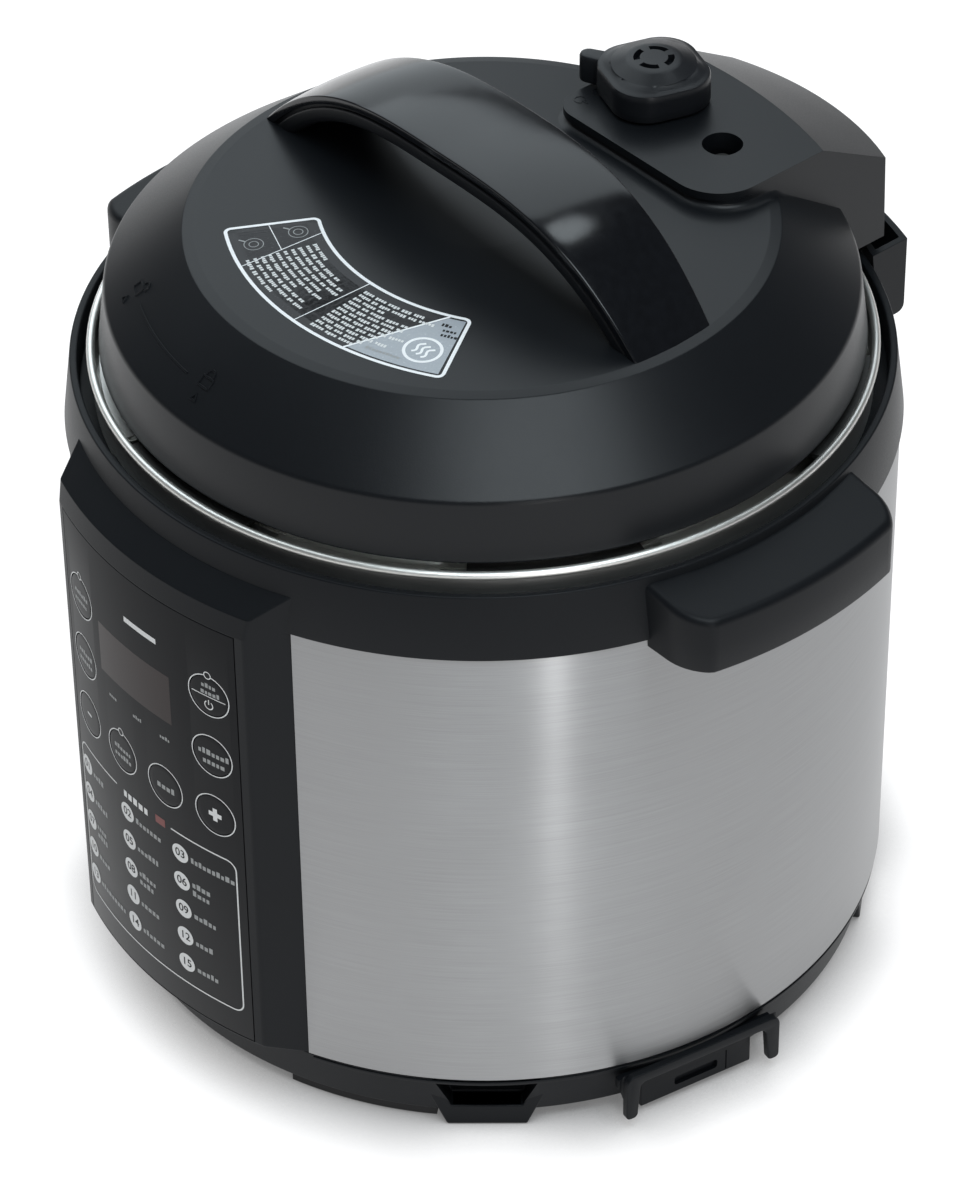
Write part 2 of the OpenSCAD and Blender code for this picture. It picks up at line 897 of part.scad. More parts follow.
module lid_handle_top() {
    color(gloss_black)
        difference() {
            arch_plate(overall_h, grip_gloss_t, grip_half_w, grip_tip_x);
            cover_form(-0.1);
        }
}

module lid_handle_base() {
    color(black)
        difference() {
            arch_plate(overall_h - grip_gloss_t - 0.1, 7, grip_half_w - 2, grip_tip_x - 2);
            cover_form(-0.1);
            for (x = [-grip_screw_x, grip_screw_x]) post(x, 0, 280, grip_screw_top + 0.1, 2.1);
        }
}

// Height of the lid's gently rising top between its edge and radius 50
function crown_line(r) =
    crown_low_z + (crown_high_z - crown_low_z) * (crown_r - r) / (crown_r - 50);

module lid_label() {
    color(ink)
        intersection() {
            turned([
                [50, crown_line(50) + 0.05], [crown_r, crown_line(crown_r) + 0.05],
                [crown_r, crown_line(crown_r) + 0.2], [50, crown_line(50) + 0.2]
            ]);
            translate([label_x, label_y, 0])
                arc_ring(label_in_r, label_out_r, plateau_z - 2, crown_z + 2, label_mid, label_half);
        }
}

module exhaust_stem() {
    color(steel)
        difference() {
            union() {
                post(knob_x, knob_y, 252, knob_low + 7, stem_r);
                post(knob_x, knob_y, lid_plate_z + lid_plate_t + 0.1, lid_plate_z + 6, 7);
                post(knob_x, knob_y, 253, lid_plate_z - 0.1, 7);
            }
            post(knob_x, knob_y, 240, 320, 1.5);
        }
}

module block_shield() {
    color(bright)
        difference() {
            post(knob_x, knob_y, 246, lid_plate_z - 0.1, 14);
            post(knob_x, knob_y, 247, 260, 13);
            for (a = [0:30:330])
                translate([knob_x, knob_y, 0])
                    rotate([0, 0, a])
                        translate([9, 0, 246.5])
                            cylinder(r = 1.2, h = 3, center = true);
            post(knob_x, knob_y, 240, 248, 4.5);
        }
}

// Rounded rhombus of the knob with its pointer tab
module knob_plan() {
    tab_direction = -153.4;
    translate([knob_x, knob_y]) {
        rotate([0, 0, tab_direction + 45])
            rounded_rect(36.5, 36.5, 13);
        rotate([0, 0, tab_direction])
            translate([19.5, 0])
                rounded_rect(16, 6.5, 3);
    }
}

module exhaust_knob() {
    color(gloss_black)
        difference() {
            union() {
                translate([0, 0, knob_low])
                    linear_extrude(height = knob_side_h)
                        knob_plan();
                translate([knob_x, knob_y, knob_low + knob_side_h])
                    cylinder(r1 = 16.5, r2 = 11, h = 2.6);
                post(knob_x, knob_y, knob_low + knob_side_h, knob_top, 10);
            }
            post(knob_x, knob_y, knob_low - 1, knob_low + 11.5, 9);
            for (a = [0:90:270])
                translate([knob_x, knob_y, knob_low + 11])
                    rotate([0, 0, a])
                        rotate_extrude(angle = 65)
                            translate([5, 0])
                                square([2, 8]);
        }
}

module knob_insert() {
    color(steel)
        difference() {
            post(knob_x, knob_y, knob_low + 0.5, knob_low + 11.4, 8.9);
            post(knob_x, knob_y, knob_low - 1, knob_low + 8, stem_r + 0.08);
        }
}

module float_pin() {
    color(bright) {
        post(float_x, float_y, 247, 292, float_r);
        post(float_x, float_y, lid_plate_z + lid_plate_t + 0.2, lid_plate_z + lid_plate_t + 1.7, 5);
    }
}

module float_seal() {
    color(silicone)
        difference() {
            post(float_x, float_y, seal_top - 4, seal_top, 6);
            post(float_x, float_y, 240, 260, float_r);
        }
}

// Plate that the risen float pin keeps from sliding, so the lid can't turn
module lock_slider() {
    slot_r = 4.2;
    stroke = 4;
    color(ink)
        difference() {
            translate([float_x - slider_half_w, float_y - 18, slider_z])
                cube([2 * slider_half_w, 36, 2.5]);
            post(float_x, float_y, 260, 275, slot_r);
            post(float_x, float_y - stroke, 260, 275, slot_r);
            translate([float_x - slot_r, float_y - stroke, 260])
                cube([2 * slot_r, stroke, 15]);
        }
}

base_shell();
bottom_cover();
foot_pads();
base_screws();
steel_jacket();
collar();
side_handle_right();
side_handle_left();
handle_screws();
ladle_holder();
mains_inlet();
heat_shield();
outer_pot();
heating_plate();
sensor_spring();
sensor_bracket();
thermal_fuse();
pressure_switch();
power_board();
panel_frame();
panel_overlay();
display_module();
key_membrane();
control_board();
key_1();
key_2();
key_3();
key_4();
key_5();
key_6();
key_7();
key_8();
temperature_sensor();
dew_collector();
inner_pot();
sealing_ring();
seal_rack();
lid_cover();
lid_plate();
lid_screws();
lid_handle_base();
lid_handle_top();
lid_label();
exhaust_stem();
block_shield();
exhaust_knob();
knob_insert();
float_pin();
float_seal();
lock_slider();
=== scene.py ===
"""Electric pressure cooker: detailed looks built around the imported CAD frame.

Lengths are in mm until a mesh is made, and angles are in degrees from the X axis.
"""

import json
import math
import random

import bpy
import bmesh
import numpy as np
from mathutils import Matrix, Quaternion, Vector

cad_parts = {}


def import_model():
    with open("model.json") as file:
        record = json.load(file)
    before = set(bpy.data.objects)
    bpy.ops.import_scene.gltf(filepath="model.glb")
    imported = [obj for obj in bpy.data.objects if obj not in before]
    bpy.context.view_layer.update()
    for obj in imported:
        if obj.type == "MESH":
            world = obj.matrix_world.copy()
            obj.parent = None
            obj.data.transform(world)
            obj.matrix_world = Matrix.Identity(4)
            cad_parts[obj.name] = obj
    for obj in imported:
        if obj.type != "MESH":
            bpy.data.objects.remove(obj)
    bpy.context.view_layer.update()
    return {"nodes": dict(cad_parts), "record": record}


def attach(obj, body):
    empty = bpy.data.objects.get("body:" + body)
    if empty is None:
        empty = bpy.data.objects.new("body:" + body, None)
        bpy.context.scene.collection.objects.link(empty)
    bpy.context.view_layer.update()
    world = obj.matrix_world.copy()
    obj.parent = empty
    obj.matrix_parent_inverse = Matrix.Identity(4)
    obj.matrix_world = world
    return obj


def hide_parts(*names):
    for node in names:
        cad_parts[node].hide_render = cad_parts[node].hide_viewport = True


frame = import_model()
MM = 0.001
FRONT = -90.0
BACK = 90.0

# Measures shared with the CAD frame
DECK_TOP = 298.0
DECK_LEFT, DECK_RIGHT = -28.4, 54.0
KNOB_AT = (-10.0, 87.4)
FLOAT_AT = (28.0, 85.0)
TAB_ANGLE = -153.4
HANDLE_TOP = 328.9
HANDLE_DROP = 38.0
HANDLE_SPAN = 98.0
HANDLE_BOW = 1370.0
JACKET_R = 145.0
PANEL_R = 155.6
GRIP_R = 141.8
CLIP_ANGLE = -10
LABEL_AT = (3.5, 21.5)


# ---- mesh helpers


def rad(a):
    return math.radians(a)


def polar(r, a, z):
    return (r * math.cos(rad(a)), r * math.sin(rad(a)), z)


def fillet(points, radius, closed=True, steps=4):
    """Polyline with its corners rounded; radius is one number or one per corner."""
    out = []
    n = len(points)
    for i, p in enumerate(points):
        r = radius[i] if hasattr(radius, "__len__") else radius
        if r <= 0 or (not closed and i in (0, n - 1)):
            out.append(tuple(float(v) for v in p))
            continue
        b = np.array(p, float)
        u = np.array(points[i - 1], float) - b
        w = np.array(points[(i + 1) % n], float) - b
        lu, lw = np.linalg.norm(u), np.linalg.norm(w)
        u, w = u / lu, w / lw
        angle = math.acos(max(-1.0, min(1.0, float(u @ w))))
        if angle > math.pi - 0.01:
            out.append(tuple(b))
            continue
        d = min(r / math.tan(angle / 2), 0.48 * lu, 0.48 * lw)
        rr = d * math.tan(angle / 2)
        middle = (u + w) / np.linalg.norm(u + w)
        centre = b + middle * rr / math.sin(angle / 2)
        v0, v1 = b + u * d - centre, b + w * d - centre
        turn = math.pi - angle
        for k in range(steps + 1):
            t = k / steps
            q = (math.sin((1 - t) * turn) * v0 + math.sin(t * turn) * v1) / math.sin(turn)
            out.append(tuple(centre + q))
    return out


def add_object(name, data):
    ob = bpy.data.objects.new(name, data)
    bpy.context.scene.collection.objects.link(ob)
    return ob


def make(name, verts, faces, body, mat, sharp=35.0, merge=True):
    """A mesh object in metres from points in mm, smooth apart from edges sharper than sharp degrees."""
    me = bpy.data.meshes.new(name)
    me.from_pydata([tuple(c * MM for c in v) for v in verts], [], faces)
    bm = bmesh.new()
    bm.from_mesh(me)
    if merge:
        bmesh.ops.remove_doubles(bm, verts=bm.verts, dist=2e-6)
        bmesh.ops.dissolve_degenerate(bm, edges=bm.edges, dist=1e-6)
    bmesh.ops.recalc_face_normals(bm, faces=bm.faces)
    bm.to_mesh(me)
    bm.free()
    ob = add_object(name, me)
    if mat is not None:
        me.materials.append(mat)
    smooth(ob, sharp)
    if body is not None:
        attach(ob, body)
    return ob


def smooth(ob, sharp=35.0):
    ob.data.polygons.foreach_set("use_smooth", [True] * len(ob.data.polygons))
    ob.data.set_sharp_from_angle(angle=rad(sharp))
    ob.data.update()


def bake(ob, sharp=35.0):
    """Applies an object's modifiers to its mesh."""
    bpy.context.view_layer.update()
    graph = bpy.context.evaluated_depsgraph_get()
    me = bpy.data.meshes.new_from_object(ob.evaluated_get(graph))
    ob.modifiers.clear()
    old = ob.data
    ob.data = me
    me.name = old.name
    smooth(ob, sharp)


def boolean(ob, cutters, operation="DIFFERENCE"):
    """Cuts or joins plain mesh objects into ob, and removes them."""
    for c in cutters:
        m = ob.modifiers.new("b", "BOOLEAN")
        m.operation = operation
        m.solver = "EXACT"
        m.object = c
        bake(ob)
    for c in cutters:
        bpy.data.objects.remove(c)


def bevel(ob, width, segments=3, limit=30.0, sharp=40.0):
    m = ob.modifiers.new("bevel", "BEVEL")
    m.width = width * MM
    m.segments = segments
    m.limit_method = "ANGLE"
    m.angle_limit = rad(limit)
    m.miter_outer = "MITER_ARC"
    m.use_clamp_overlap = True
    bake(ob, sharp)


def weigh(ob):
    """Weighted normals keep broad faces flat beside their rounded edges."""
    m = ob.modifiers.new("weighted", "WEIGHTED_NORMAL")
    m.mode = "FACE_AREA"
    m.weight = 50
    m.keep_sharp = True


def revolve(name, profile, body=None, mat=None, mid=0.0, half=180.0, n=256, sharp=35.0):
    """Turns a closed profile of (radius, height) points about the vessel's axis."""
    full = half >= 180.0
    cols = n if full else max(3, int(n * half / 180.0)) + 1
    m = len(profile)
    verts, faces = [], []
    for c in range(cols):
        a = rad(mid - half + 2 * half * c / (cols if full else cols - 1))
        for r, z in profile:
            verts.append((r * math.cos(a), r * math.sin(a), z))
    spans = cols if full else cols - 1
    for c in range(spans):
        d = (c + 1) % cols
        for i in range(m):
            j = (i + 1) % m
            faces.append((c * m + i, d * m + i, d * m + j, c * m + j))
    if not full:
        faces.append(tuple(range(m - 1, -1, -1)))
        faces.append(tuple((cols - 1) * m + i for i in range(m)))
    return make(name, verts, faces, body, mat, sharp)


def loft(name, rings, body=None, mat=None, around=True, caps=True, sharp=35.0):
    """Skin over rings of the same number of points."""
    m = len(rings[0])
    verts = [p for ring in rings for p in ring]
    faces = []
    for k in range(len(rings) - 1):
        for i in range(m if around else m - 1):
            j = (i + 1) % m
            faces.append((k * m + i, k * m + j, (k + 1) * m + j, (k + 1) * m + i))
    if caps:
        faces.append(tuple(range(m - 1, -1, -1)))
        last = (len(rings) - 1) * m
        faces.append(tuple(last + i for i in range(m)))
    return make(name, verts, faces, body, mat, sharp)


def prism(name, outline, z0, z1, body=None, mat=None, place=None):
    """Upright prism over a closed outline of (x, y); place maps each point to its final position."""
    rings = [[(x, y, z) for x, y in outline] for z in (z0, z1)]
    if place:
        rings = [[place(*p) for p in ring] for ring in rings]
    return loft(name, rings, body, mat)


def rectangle(x0, z0, x1, z1):
    return [(x0, z0), (x1, z0), (x1, z1), (x0, z1)]


def round_hole(name, centre, z0, z1, steps=12):
    """Upright cutter for a hole of 14 mm."""
    x, y = centre
    return prism(name, fillet(rectangle(x - 7, y - 7, x + 7, y + 7), 7, True, steps), z0, z1)


def back_facing(x, y, z):
    """Stands a plan drawn in (x, height) up as a wall across the back."""
    return (x, z, y)


def dense(points, step):
    """An open polyline with each span split into pieces of about step."""
    out = []
    for a, b in zip(points, points[1:]):
        n = max(1, int(math.hypot(b[0] - a[0], b[1] - a[1]) / step))
        out += [(a[0] + (b[0] - a[0]) * k / n, a[1] + (b[1] - a[1]) * k / n) for k in range(n)]
    return out + [points[-1]]


def normals(points, closed=False):
    """Unit normal on the left of a polyline at each point; a closed one repeats its first point."""
    n = len(points)
    out = []
    for i in range(n):
        a = points[i - 1 if i > 0 else (n - 2 if closed else 0)]
        b = points[i + 1 if i < n - 1 else (1 if closed else n - 1)]
        dx, dy = b[0] - a[0], b[1] - a[1]
        length = math.hypot(dx, dy) or 1.0
        out.append((-dy / length, dx / length))
    return out


def paint(ob, mat):
    ob.data.materials.clear()
    ob.data.materials.append(mat)


def turned_to(angle):
    """Maps x outwards, y sideways and z up to a direction about the vessel's axis."""
    ca, sa = math.cos(rad(angle)), math.sin(rad(angle))
    return lambda x, y, z: (x * ca - y * sa, x * sa + y * ca, z)


def join(name, objects, body):
    """One object from several that ride on the same body; the first one's material slots grow as needed."""
    bm = bmesh.new()
    mats = []
    for o in objects:
        start = len(bm.faces)
        bm.from_mesh(o.data)
        bm.faces.ensure_lookup_table()
        index = []
        for m in o.data.materials:
            if m not in mats:
                mats.append(m)
            index.append(mats.index(m))
        for f in bm.faces[start:]:
            f.material_index = index[f.material_index] if index else 0
    me = bpy.data.meshes.new(name)
    bm.to_mesh(me)
    bm.free()
    for m in mats:
        me.materials.append(m)
    for o in objects:
        bpy.data.objects.remove(o)
    ob = add_object(name, me)
    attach(ob, body)
    smooth(ob)
    return ob


# ---- materials


def nodes_of(mat):
    mat.use_nodes = True
    t = mat.node_tree
    return t, next(n for n in t.nodes if n.type == "BSDF_PRINCIPLED")


def node(tree, kind, values=None, feeds=None, operation=None):
    """Adds a shader node, with numbers for its sockets and links that feed them."""
    n = tree.nodes.new("ShaderNode" + kind)
    if operation:
        n.operation = operation
    for key, value in (values or {}).items():
        n.inputs[key].default_value = value
    for key, source in (feeds or {}).items():
        tree.links.new(source, n.inputs[key])
    return n


def shade(name, base, rough, spread=0.05, tint=0.12, grain=900.0, bump=0.02, metallic=0.0,
          coat=0.0, specular=0.5, stretch=(1, 1, 1), aniso=0.0, depth=0.0004):
    """Principled material with a grain that varies its colour, roughness and surface."""
    mat = bpy.data.materials.new(name)
    t, bsdf = nodes_of(mat)
    coord = node(t, "TexCoord").outputs["Object"]
    mapping = node(t, "Mapping", {"Scale": stretch}, {"Vector": coord})
    fine = node(t, "TexNoise", {"Scale": grain, "Detail": 3.0}, {"Vector": mapping.outputs["Vector"]})
    broad = node(t, "TexNoise", {"Scale": 14.0, "Detail": 4.0}, {"Vector": coord})
    half = node(t, "Math", {1: 0.45}, {0: broad.outputs["Fac"]}, "MULTIPLY")
    blend = node(t, "Math", {1: 0.55}, {0: fine.outputs["Fac"], 2: half.outputs[0]}, "MULTIPLY_ADD")
    ramp = node(t, "ValToRGB", feeds={"Fac": blend.outputs[0]})
    for stop, place, factor in zip(ramp.color_ramp.elements, (0.35, 0.65), (1 - tint, 1 + tint)):
        stop.position = place
        stop.color = (*(min(1.0, c * factor) for c in base), 1)
    t.links.new(ramp.outputs["Color"], bsdf.inputs["Base Color"])
    rough_map = node(t, "MapRange", {"From Min": 0.3, "From Max": 0.7, "To Min": max(0.02, rough - spread),
                                     "To Max": min(1.0, rough + spread)}, {"Value": blend.outputs[0]})
    t.links.new(rough_map.outputs["Result"], bsdf.inputs["Roughness"])
    if bump > 0:
        b = node(t, "Bump", {"Strength": bump, "Distance": depth}, {"Height": fine.outputs["Fac"]})
        t.links.new(b.outputs["Normal"], bsdf.inputs["Normal"])
    bsdf.inputs["Metallic"].default_value = metallic
    bsdf.inputs["Specular IOR Level"].default_value = specular
    bsdf.inputs["Coat Weight"].default_value = coat
    bsdf.inputs["Coat Roughness"].default_value = 0.12 if coat else 0.05
    bsdf.inputs["Anisotropic"].default_value = aniso
    if aniso > 0:
        tangent = node(t, "Tangent")
        tangent.direction_type = "RADIAL"
        tangent.axis = "Z"
        t.links.new(tangent.outputs["Tangent"], bsdf.inputs["Tangent"])
        bsdf.inputs["Anisotropic Rotation"].default_value = 0.25
    mat.diffuse_color = (*base, 1)
    return mat


SHELL = (0.0060, 0.0070, 0.0086)
BODY = shade("body_plastic", SHELL, 0.42, specular=0.14, tint=0.10, grain=1500, bump=0.10, depth=0.0002)
LID = shade("lid_plastic", SHELL, 0.34, specular=0.23, tint=0.10, grain=1700, bump=0.08, depth=0.0002)
KNOB = shade("knob_plastic", (0.008, 0.009, 0.011), 0.34, specular=0.25, grain=1500, bump=0.08, depth=0.0002)
GLOSS = shade("gloss_black", (0.0040, 0.0047, 0.0062), 0.16, spread=0.03, tint=0.2, grain=300, bump=0.01,
              specular=0.30, coat=0.12)
FOOT = shade("foot_rubber", (0.012, 0.012, 0.013), 0.7, spread=0.08, tint=0.2, grain=1200, bump=0.2)
STEEL = shade("jacket_steel", (0.345, 0.347, 0.351), 0.33, spread=0.04, tint=0.10, grain=34, bump=0.10,
              metallic=1.0, stretch=(1, 1, 90), aniso=0.96, depth=0.0002)
BRIGHT = shade("rim_steel", (0.84, 0.84, 0.81), 0.40, tint=0.04, grain=60, bump=0.03,
               metallic=1.0, stretch=(1, 1, 60), aniso=0.4, depth=0.0002)
# Near-black steel used as painted shade on the vessel's lugs and the float's pin
PAINTED_SHADE_STEEL = shade("painted_shade_steel", (0.035, 0.035, 0.034), 0.5, spread=0.08, tint=0.2, grain=200,
             bump=0.05, metallic=0.6)
SCREW = shade("screw_steel", (0.55, 0.55, 0.55), 0.30, spread=0.08, tint=0.1, bump=0.05, metallic=1.0)
SHEET = shade("sheet_aluminium", (0.66, 0.67, 0.68), 0.38, spread=0.08, tint=0.06, grain=500, bump=0.05,
              metallic=1.0)
CAST = shade("cast_aluminium", (0.60, 0.61, 0.62), 0.45, spread=0.08, tint=0.08, grain=1100, bump=0.15,
             metallic=1.0)
SILICONE = shade("silicone", (0.72, 0.70, 0.66), 0.5, spread=0.06, tint=0.05, grain=700, bump=0.05)
FILM = shade("panel_film", (0.0095, 0.0100, 0.0112), 0.34, specular=0.08, spread=0.03, tint=0.05,
             grain=2500, bump=0.04, depth=0.0001)
WINDOW = shade("display_glass", (0.020, 0.0125, 0.0115), 0.32, specular=0.15, spread=0.03, tint=0.10,
               bump=0.0)
PRINT = shade("white_print", (0.62, 0.63, 0.63), 0.5, tint=0.04, grain=1500, bump=0.0)
FAINT = shade("grey_print", (0.26, 0.27, 0.27), 0.5, tint=0.04, grain=1500, bump=0.0)
ACCENT = shade("red_print", (0.15, 0.022, 0.018), 0.5, tint=0.1, grain=1500, bump=0.0)
DARK_FILM = shade("label_dark", (0.016, 0.016, 0.018), 0.26, specular=0.2, spread=0.03, tint=0.06,
                  grain=1200, depth=0.0001)
GREY_FILM = shade("label_grey", (0.30, 0.33, 0.36), 0.26, spread=0.03, tint=0.05, grain=1200, depth=0.0001)
WHITE_FILM = shade("label_white", (0.78, 0.79, 0.80), 0.35, spread=0.03, tint=0.03, grain=1200, bump=0.0)
WHITE_PLASTIC = shade("white_plastic", (0.72, 0.72, 0.70), 0.45, tint=0.04, bump=0.05)
BOARD = shade("circuit_board", (0.03, 0.15, 0.06), 0.4, spread=0.08, tint=0.3, grain=500, bump=0.05)

SLOT_MATERIAL = {
    "body_plastic": BODY, "gloss_black": GLOSS, "knob_plastic": KNOB, "jacket_steel": STEEL,
    "pot_steel": BRIGHT, "screw_steel": SCREW, "sheet_aluminium": SHEET, "cast_aluminium": CAST,
    "foot_rubber": FOOT, "silicone": SILICONE, "panel_film": FILM, "display_glass": WINDOW,
    "white_plastic": WHITE_PLASTIC, "circuit_board": BOARD, "label_print": DARK_FILM,
}
for row in frame["record"]["subparts"]:
    cad = frame["nodes"][row["node"]]
    paint(cad, SLOT_MATERIAL[row["material_slot"]])
    smooth(cad, 30)
# Painted shade: the float's pin and seal get near-black materials for the shade inside the float's opening
for part, dark in (("float_pin", PAINTED_SHADE_STEEL), ("float_seal", FOOT)):
    frame["nodes"][part].data.materials[0] = dark


# ---- lid cover

CROWN = [(0, 293), (20, 293), (50, 292.5), (97.8, 291.2), (101.8, 290.6), (129.7, 269.4), (132.5, 246.8)]


def lid_z(r):
    """Height of the lid's outer surface at a radius."""
    return float(np.interp(r, [p[0] for p in CROWN], [p[1] for p in CROWN]))


def lid_shell():
    outer = [CROWN[-1], CROWN[-2], CROWN[-3], (97.8, 291.25), (50, 292.5), (20, 293), (0, 293)]
    inner = [(0, 290), (20, 290), (50, 289.5), (100.3, 287.6), (126.7, 267.9), (129.5, 246.8)]
    radii = [0.9, 3.0, 1.4, 5.0, 40.0, 40.0, 0, 0, 0, 0, 1, 2, 0.6]
    ob = revolve("lid_shell", fillet(outer + inner, radii, True, 6), "lid", LID, n=320)
    boolean(ob, [round_hole("hole", FLOAT_AT, 280, 300), round_hole("hole2", KNOB_AT, 280, 300, 8)])
    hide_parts("lid_cover")


def arc_points(cx, cy, r, a0, a1, n):
    turns = [rad(a0 + (a1 - a0) * k / n) for k in range(n + 1)]
    return [(cx + r * math.cos(a), cy + r * math.sin(a)) for a in turns]


def deck_outline(left, right, low, left_r, right_r):
    """Front part of the deck's plan, from its left side round the front to its right side, then far back."""
    return fillet([(left, 160), (left, low), (right, low), (right, 160)], [0, left_r, right_r, 0], True, 12)


def back_form(name, z_low):
    """The block's back: crease and outer edge are arcs of different centres in plan."""
    n = 48
    rows = []
    for k in range(n + 1):
        x = -40 + 104 * k / n
        crease = -63.7 + math.sqrt(180.0 ** 2 - x * x)
        outer = 30 + math.sqrt(118.0 ** 2 - (x - 8) ** 2)
        wall = 30 + math.sqrt(119.0 ** 2 - (x - 8) ** 2)
        rows.append([(x, 30, z_low), (x, wall, z_low), (x, outer, 281.5), (x, crease, DECK_TOP),
                     (x, 30, DECK_TOP)])
    return loft(name, rows)


def deck():
    foot = deck_outline(DECK_LEFT, DECK_RIGHT, 59.2, 8.4, 16.4)
    ob = prism("deck_low", foot, 248, 295.6)
    plate = prism("deck_plate", deck_outline(-30, DECK_RIGHT, 57.6, 10, 18), 295.0, 305)
    boolean(ob, [plate], "UNION")
    boolean(ob, [back_form("back", 247.9)], "INTERSECT")
    hollow = revolve("hollow", [(0, 240), (129.6, 240), (126.9, 266), (99, 286), (0, 290)], n=96)
    boolean(ob, [round_hole("hole", FLOAT_AT, 240, 310), hollow])
    ob.name = "lid_deck"
    paint(ob, LID)
    bevel(ob, 0.8, 3, 18, 25)
    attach(ob, "lid")
    weigh(ob)
    deck_flare(foot)


def deck_flare(foot):
    """The lid's surface flares up into the deck's foot."""
    reach, rise, fade_over, steps = 3.6, 2.2, 16, 8
    path = [(DECK_LEFT, 92 - 3 * k) for k in range(8)] + [p for p in foot if p[1] < 92]
    path += [(DECK_RIGHT, 77 + 3 * k) for k in range(8)]
    middle = np.array([12, 90])
    rings = []
    for i, (x, y) in enumerate(path):
        a, b = path[max(0, i - 1)], path[min(len(path) - 1, i + 1)]
        t = np.array([b[0] - a[0], b[1] - a[1]])
        t = t / np.linalg.norm(t)
        out_ward = np.array([t[1], -t[0]])
        if out_ward @ (np.array([x, y]) - middle) < 0:
            out_ward = -out_ward
        fade = min(1.0, *(math.hypot(x - e[0], y - e[1]) / fade_over for e in (path[-1], path[0])))
        ring = []
        for k in range(steps + 1):
            phi = rad(90 * k / steps)
            out = reach * fade * (1 - math.sin(phi)) - 0.1
            qx, qy = x + out_ward[0] * out, y + out_ward[1] * out
            up = rise * fade * (1 - math.cos(phi))
            ring.append((qx, qy, lid_z(math.hypot(qx, qy)) + up + 0.02))
        rings.append(ring)
    flare = loft("deck_flare", rings, "lid", LID, around=False, caps=False, sharp=50)


# ---- lid handle


def handle_arch(x):
    return HANDLE_TOP - HANDLE_DROP * (abs(x) / HANDLE_SPAN) ** 3


def handle_half(x, half):
    return half - (HANDLE_BOW - math.sqrt(HANDLE_BOW ** 2 - x * x))


def arch_loft(name, mat, section, half, reach, n=96):
    """Sweeps a section of (side, inset from the edge, depth below the top) along the arch."""
    rings = []
    for k in range(n + 1):
        x = -reach + 2 * reach * k / n
        z = handle_arch(x)
        slope = -3 * HANDLE_DROP * x * abs(x) / HANDLE_SPAN ** 3
        norm = math.hypot(1, slope)
        nx, nz = -slope / norm, 1 / norm
        hw = handle_half(x, half)
        ring = []
        for side, inset, depth in section:
            ring.append((x - nx * depth, side * (hw - inset), z - nz * depth))
        rings.append(ring)
    return loft(name, rings, "lid", mat, sharp=40)


def edge_section(depth0, depth1, r0, r1, crown=0.0, steps=5):
    """Closed section of a strip with rounded edges, as (side, inset, depth)."""
    depth0 += crown
    right = []
    for k in range(steps + 1):
        phi = rad(90 * k / steps)
        right.append((1, r0 * (1 - math.sin(phi)), depth0 + r0 * (1 - math.cos(phi))))
    for k in range(steps + 1):
        phi = rad(90 * k / steps)
        right.append((1, r1 * (1 - math.cos(phi)), depth1 - r1 * (1 - math.sin(phi))))
    left = [(-s, i, d) for s, i, d in reversed(right)]
    top = [(1, i, depth0 - crown * (1 - (1 - i / 20) ** 2)) for i in (17, 14, 11, 8, 5, 2.5)]
    return top + right + left + [(-1, i, d) for _, i, d in reversed(top)]


def lid_handle():
    top = arch_loft("handle_shell", GLOSS, edge_section(0.0, 4.0, 0.7, 0.5, 0.9), 20.0, 99.5)
    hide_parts("lid_handle_top")
    spine = arch_loft("handle_spine", BODY, edge_section(3.6, 6.0, 0.2, 0.2), 18.6, 98.5)
    grip = arch_loft("handle_grip", BODY, edge_section(5.2, 11.2, 0.8, 2.6), 19.6, 97.0)
    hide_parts("lid_handle_base")


# ---- valve


def knob_radius(angle):
    """Reach of the knob's rounded square in a direction, with its flats 45 degrees off the tab."""
    b = rad(angle - (TAB_ANGLE + 45))
    half, r = 18.25, 13.0
    lo, hi = 0.0, 30.0
    for _ in range(40):
        s = (lo + hi) / 2
        qx, qy = abs(s * math.cos(b)) - (half - r), abs(s * math.sin(b)) - (half - r)
        d = math.hypot(max(qx, 0), max(qy, 0)) + min(max(qx, qy), 0) - r
        lo, hi = (s, hi) if d < 0 else (lo, s)
    return lo


